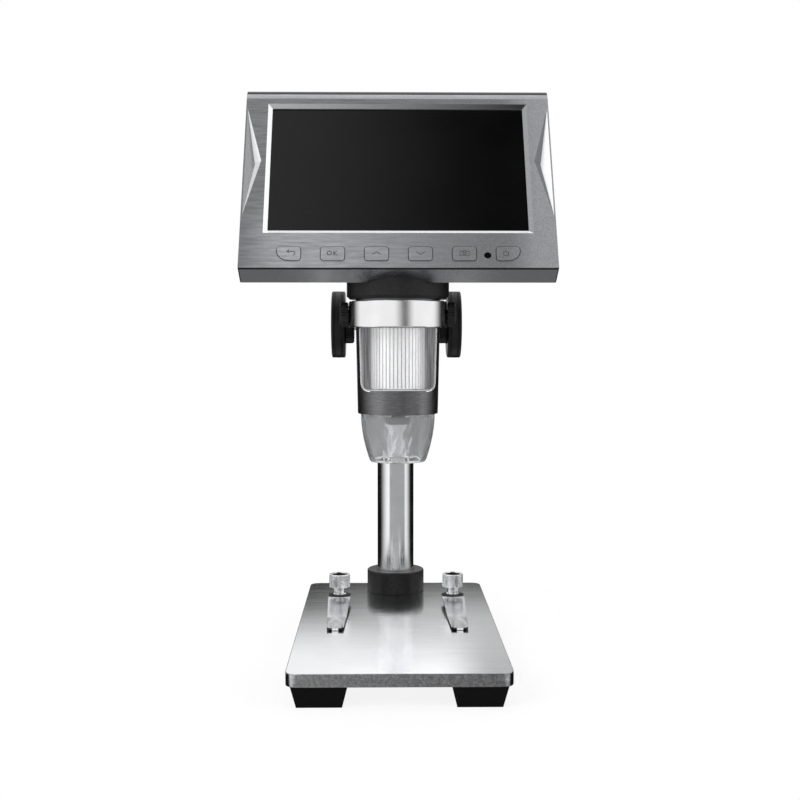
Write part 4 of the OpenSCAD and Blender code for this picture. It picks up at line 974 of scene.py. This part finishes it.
def sidePocket(sign):
    n = notch
    middle = (n["low"] + n["high"]) / 2
    deep = Vector((sign * n["deepX"], middle, -n["deep"]))
    corners = [Vector((sign * x, s, 0)) for x, s in (
        (n["start"], n["low"]), (n["start"], n["high"]), (n["apex"], middle))]
    # its slopes run on past the face, so that the cut is clean
    lift = n["out"] / n["deep"]
    mesh = bmesh.new()
    base = mesh.verts.new(deep)
    rims = [mesh.verts.new(corner + (corner - deep) * lift) for corner in corners]
    for a, b in ((0, 1), (1, 2), (2, 0)):
        mesh.faces.new((base, rims[a], rims[b]))
    mesh.faces.new(rims)
    # the slopes that face left are bright, the others in shade
    paint(mesh.faces, n["rightLooks"] if sign > 0 else n["leftLooks"])
    bmesh.ops.recalc_face_normals(mesh, faces=mesh.faces)
    return mesh


def screenWindow():
    # the hole for the screen, and the bevelled funnel round it
    q = screen
    grow = q["bevel"] * (1 + q["out"] / q["bevelDeep"])
    middle = (q["low"] + q["high"]) / 2
    half = (q["high"] - q["low"]) / 2

    def rect(g):
        x, s = q["halfW"] + g, half + g
        return [(-x, middle - s), (x, middle - s), (x, middle + s), (-x, middle + s)]

    funnel = prism(rect(grow), -q["bevelDeep"], q["out"], rect(0))
    # painted light and shade: the bevel's lower and left sides glow, its right side and its top are darker
    # copies
    paint(funnel.faces, q["looks"])
    return prism(rect(0), -case["wall"] - 1, 0.4), funnel


def frontBezel():
    c = case
    start = c["height"] - c["reach"]
    top = start + c["round"]
    side = [(0, 0)]
    for k in range(10):
        turn = math.radians(10 * k)
        side.append((start + c["round"] * math.sin(turn), c["round"] * (math.cos(turn) - 1)))
    side += [(top, -c["deep"]), (-c["flare"], -c["deep"])]
    mesh = prism(side, -c["half"], c["half"])
    # the prism's axes (s, w, x) become (x, s, w)
    moved(mesh, Matrix(((0, 0, 1, 0), (1, 0, 0, 0), (0, 1, 0, 0), (0, 0, 0, 1))))
    bmesh.ops.recalc_face_normals(mesh, faces=mesh.faces)
    mesh.normal_update()
    # painted shade and light on the crest: its top is near-black for a dark reflection, the strip just above
    # the face a lighter grey
    for face in mesh.faces:
        up = face.normal.y
        if up > math.sin(math.radians(c["crest"])):
            paint([face], ["edgePaintedShade"])
        elif up < -0.5:
            paint([face], ["underGrey"])
        elif up > 0.03:
            paint([face], ["crestPaintedLight"])
    # the sharp edges round the underside are near-black, as painted shade in the gaps along them
    low = [edge for edge in mesh.edges if max(vert.co.y for vert in edge.verts) < 0.01]
    bmesh.ops.bevel(mesh, geom=low, offset=c["lowEdge"], segments=1, affect="EDGES",
                    material=c["looks"].index("edgePaintedShade"))
    made = looseObject("frontBezel", mesh, c["looks"])
    half = c["half"] + c["trim"]
    outline = rounded([(-half, -9), (half, -9), (half, top + 0.01), (-half, top + 0.01)],
                      [0, 0, c["corner"], c["corner"]], 6)
    cutOut(made, prism(outline, -c["deep"] - 1, 1), operation="INTERSECT")
    cavity = block((-c["cavityHalf"], c["cavityLow"], -c["deep"] - 1),
                   (c["cavityHalf"], c["cavityHigh"], -c["wall"]))
    cutOut(made, cavity, *screenWindow(), sidePocket(-1), sidePocket(1))
    softEdges(made, c["edge"], 2, 12, apply=True)
    holes = [prism(keyOutline(i, keys["gap"]), -c["wall"] - 1, 1) for i in range(6)]
    holes.append(prism(circle(indicator["x"], indicator["up"], indicator["r"]), -c["wall"] - 1, 1))
    cutOut(made, *holes)
    made.data.transform(faceMatrix)
    finished(made, "head", ["front_bezel"], 20)


def bar(a, b, width, low, high):
    # a raised stroke from one point to another, with the ends squared
    a, b = Vector(a), Vector(b)
    along = (b - a).normalized() * width / 2
    across = Vector((-along.y, along.x))
    return prism([tuple(a - along - across), tuple(b + along - across), tuple(b + along + across),
                  tuple(a - along + across)], low, high)


signs = {
    "back": [[(0.9, -0.9), (1.5, -0.5), (1.5, 0.3), (0.9, 0.7), (-1.5, 0.7)],
             [(-0.8, 1.3), (-1.5, 0.7), (-0.8, 0.1)]],
    "ok": [circle(-1.2, 0, 0.85, 10) + [(-0.35, 0)], [(0.5, -0.85), (0.5, 0.85)],
           [(1.6, 0.85), (0.5, 0), (1.6, -0.85)]],
    "up": [[(-1.5, -0.5), (0, 0.6), (1.5, -0.5)]],
    "down": [[(-1.5, 0.5), (0, -0.6), (1.5, 0.5)]],
    "capture": [[(-1.8, -1.0), (1.8, -1.0), (1.8, 0.8), (0.7, 0.8), (0.4, 1.2), (-0.4, 1.2), (-0.7, 0.8),
                 (-1.8, 0.8), (-1.8, -1.0)], circle(0, -0.1, 0.6, 10) + [(0.6, -0.1)]],
    "power": [circle(0, -0.1, 1.0, 12, 120, 420), [(0, 0.3), (0, 1.2)]],
}


def key(i, name):
    k, node = keys, "button_" + name
    cap = looseObject("key" + name.title(), prism(keyOutline(i, 0), k["flangeTop"] - k["lap"], k["out"]),
                      ["keyGrey", "signGrey"])
    softEdges(cap, k["edge"], 3, apply=True)
    place = Vector((keyX(i) + k["signShift"].get(i, 0), k["up"] + k["signUp"]))
    strokes = [bar(Vector(a) + place, Vector(b) + place, k["stroke"], k["out"] - k["lap"],
                   k["out"] + k["strokeOut"]) for line in signs[name] for a, b in zip(line, line[1:])]
    stroke = joined(*strokes)
    for face in stroke.faces:
        face.material_index = 1
    flange = prism(keyOutline(i, k["flange"]), k["flangeTop"] - k["flangeT"], k["flangeTop"])
    stem = prism(circle(keyX(i), k["up"], k["stemR"], 24), k["stem"], k["flangeTop"] - 2 * k["lap"])
    whole = joined(stroke, flange, stem)
    whole.from_mesh(cap.data)
    whole.to_mesh(cap.data)
    whole.free()
    cap.data.transform(faceMatrix)
    finished(cap, node, [node], 30)


frontBezel()
for i, name in enumerate(signs):
    key(i, name)
dress(["lcd_panel", "indicator_lens"], "screenGlass")
dress(["rear_plate", "rear_cover"], "coverGrey", 0.4)
dress(["cover_screws", "board_screws", "neck_screws", "usb_socket", "card_socket"], "screwSteel", 0.1)
dress(["main_board", "button_board"], "circuitBoard")
dress(["battery"], "cellWrap")
dress(["button_switches"], "knobBlack")
dress(["dimmer_wheel"], "knobBlack", 0.1)
print("screen housing ready")


# stage: a pale floor and a soft studio round the object; lengths in metres, angles in degrees
studio = {"floorHalf": 4, "floorTone": 0.86, "show": 0.87, "fade": (0.09, 0.2), "ambient": 0.55,
          "front": 0.34, "frontEnd": (0.14, 0.18), "dark": 0.01}


def flatSheet(name, corners):
    mesh = bmesh.new()
    mesh.faces.new([mesh.verts.new(corner) for corner in corners])
    made = looseObject(name, mesh, [])
    return made


def sheetWiring(made):
    material = bpy.data.materials.new(made.name + "Finish")
    made.data.materials.append(material)
    return Wiring(material)


def glow(w, strength):
    return w.node("ShaderNodeEmission", None, {"Color": (1, 1, 1, 1), "Strength": strength})


def rays(w):
    # how much the camera sees a surface itself or through glass, and how much a polished surface does
    direct, through, glossy = w.node("ShaderNodeLightPath", None, None,
                                     ("Is Camera Ray", "Is Transmission Ray", "Is Glossy Ray"))
    return direct + through, glossy


def compass(w, direction):
    # degrees round the object, 0 at the front and 90 to the right, with the direction's y and z
    x, y, z = w.parts("XYZ", direction)
    return w.maths("ARCTAN2", x, 0 - y) * math.degrees(1), y, z


def strips(w, turn):
    # white at both sides, fading towards the back, and grey ahead
    left = w.between(turn, -113, -46, -45, -34)
    right = w.between(turn, 53, 63, 65, 112)
    front = w.between(turn, -47, -36, 51, 61)
    return left * 1.15 + right + front * 0.42 + 0.005


def stageFloor():
    s = studio
    half = s["floorHalf"]
    floor = flatSheet("floor", [(x * half, y * half, 0) for x, y in ((-1, -1), (1, -1), (1, 1), (-1, 1))])
    w = sheetWiring(floor)
    place = w.place()
    x, y = w.parts("XY", place)
    away = w.vectorMaths("LENGTH", place, output="Value")
    # polished surfaces see it lit in strips that start at the column
    foot = centreMm("column") * mm
    far = strips(w, compass(w, w.vectorMaths("SUBTRACT", place, (foot.x, foot.y, 0)))[0])
    # beside the plate's front corners it is white ahead of them and black behind
    beside = w.step(w.maths("ABSOLUTE", x), 0.05, 0.062) * (1 - w.step(y, -0.045, -0.03))
    ahead = (1 - w.step(y, -0.098, -0.084)) * 0.95 + s["dark"]
    front = s["front"] + beside * (ahead - s["front"])
    level = front + (far - front) * w.step(away, *s["frontEnd"])
    tone = s["floorTone"]
    paper = w.node("ShaderNodeBsdfDiffuse", None, {"Color": (tone, tone, tone, 1)})
    seen, glossy = rays(w)
    share = s["show"] + (1 - s["show"]) * w.step(away, *s["fade"])
    lit = w.node("ShaderNodeMixShader", None, {0: seen * share, 1: paper, 2: glow(w, 1)})
    both = w.node("ShaderNodeMixShader", None, {0: glossy, 1: lit, 2: glow(w, level)})
    w.show(both)


def studioWorld():
    world = bpy.data.worlds.new("studio")
    bpy.context.scene.world = world
    w = Wiring(world)
    turn, y, z = compass(w, w.node("ShaderNodeTexCoord", None, None, "Generated"))
    lift = w.maths("ARCSINE", z) * math.degrees(1)
    # a wide white wall on the left, another on the right and a dark gap between them
    left = w.step(turn, -130, -96) * (1 - w.step(turn + lift * 0.45, -11, 23))
    right = w.between(turn, 11, 41, 88, 124) * (1 - w.step(lift - turn * 0.9, 12, 22))
    walls = left + right
    # low down they carry on the floor's strips, under a bright band for the column's image in the plate
    strip = strips(w, turn) * (1 - w.step(lift, 10.5, 12.5))
    walls = walls + w.between(lift, 6, 8, 17, 23) * (strip - walls)
    band = w.between(lift, 13.3, 15.4, 17, 20.5) * 2.6
    ceiling = w.step(lift, 62, 84) * 0.7
    pane = w.between(lift, 44, 54, 66, 74) * w.between(turn, -50, -36, -12, 12) * 0.55
    back = w.step(y, -0.1, 0.25) * w.step(lift, 24, 40)
    level = walls
    for part in (band, ceiling, pane, back):
        level = w.maths("MAXIMUM", level, part)
    seen, glossy = rays(w)
    unseen = glossy * (level + 0.02) + (1 - glossy) * studio["ambient"]
    sky = w.node("ShaderNodeBackground", None, {
        "Color": (1, 1, 1, 1), "Strength": seen + (1 - seen) * unseen})
    w.show(sky, "World")


card = {"y": 0.36, "half": 0.14, "low": -0.02, "high": 0.3, "leftEnd": -0.062, "rightStart": 0.033}


def gradientCard():
    # a lit card behind the plate, which only polished surfaces see: its left half brightens evenly upwards,
    # its right half in two steps, of which the second is missing at the right edge
    c = card
    made = flatSheet("gradientCard", [(c["half"] * sign, c["y"], c[end]) for sign, end in (
        (-1, "low"), (1, "low"), (1, "high"), (-1, "high"))])
    for kind in ("camera", "diffuse", "transmission", "shadow", "volume_scatter"):
        setattr(made, "visible_" + kind, False)
    w = sheetWiring(made)
    x, z = w.parts("XZ", w.place())
    left = w.step(z, 0.084, 0.124) * 1.3 - w.step(z, 0.124, 0.14) * 0.15
    second = w.step(z, 0.105, 0.15) * 0.9 * (1 - w.step(x, 0.035, 0.075) * 1.15)
    right = w.step(z, 0.07, 0.096) * 0.68 + second
    mixed = left + (right - left) * w.spread(x, c["leftEnd"], c["rightStart"])
    level = w.between(x, -0.135, -0.095, 0.095, 0.135) * mixed + 0.01
    w.show(glow(w, level))


# each lamp's place, what it points at, its width and its power in watts
lamps = {"keyLeft": ((-0.75, -0.75, 0.85), (0, 0, 0.12), 0.6, 9),
         "fillRight": ((0.85, -0.55, 0.55), (0, 0, 0.12), 0.6, 4),
         "overHead": ((0, 0.35, 1.1), (0, 0, 0.1), 0.7, 5)}


def softbox(name, place, aim, size, power):
    light = bpy.data.lights.new(name, "AREA")
    light.shape = "SQUARE"
    light.size = size
    light.energy = power
    lamp = bpy.data.objects.new(name, light)
    lamp.location = place
    lamp.rotation_euler = (Vector(aim) - Vector(place)).to_track_quat("-Z", "Y").to_euler()
    lamp.visible_camera = False
    lamp.visible_glossy = False
    bpy.context.scene.collection.objects.link(lamp)


stageFloor()
studioWorld()
gradientCard()
for name, settings in lamps.items():
    softbox(name, *settings)
print("stage ready")
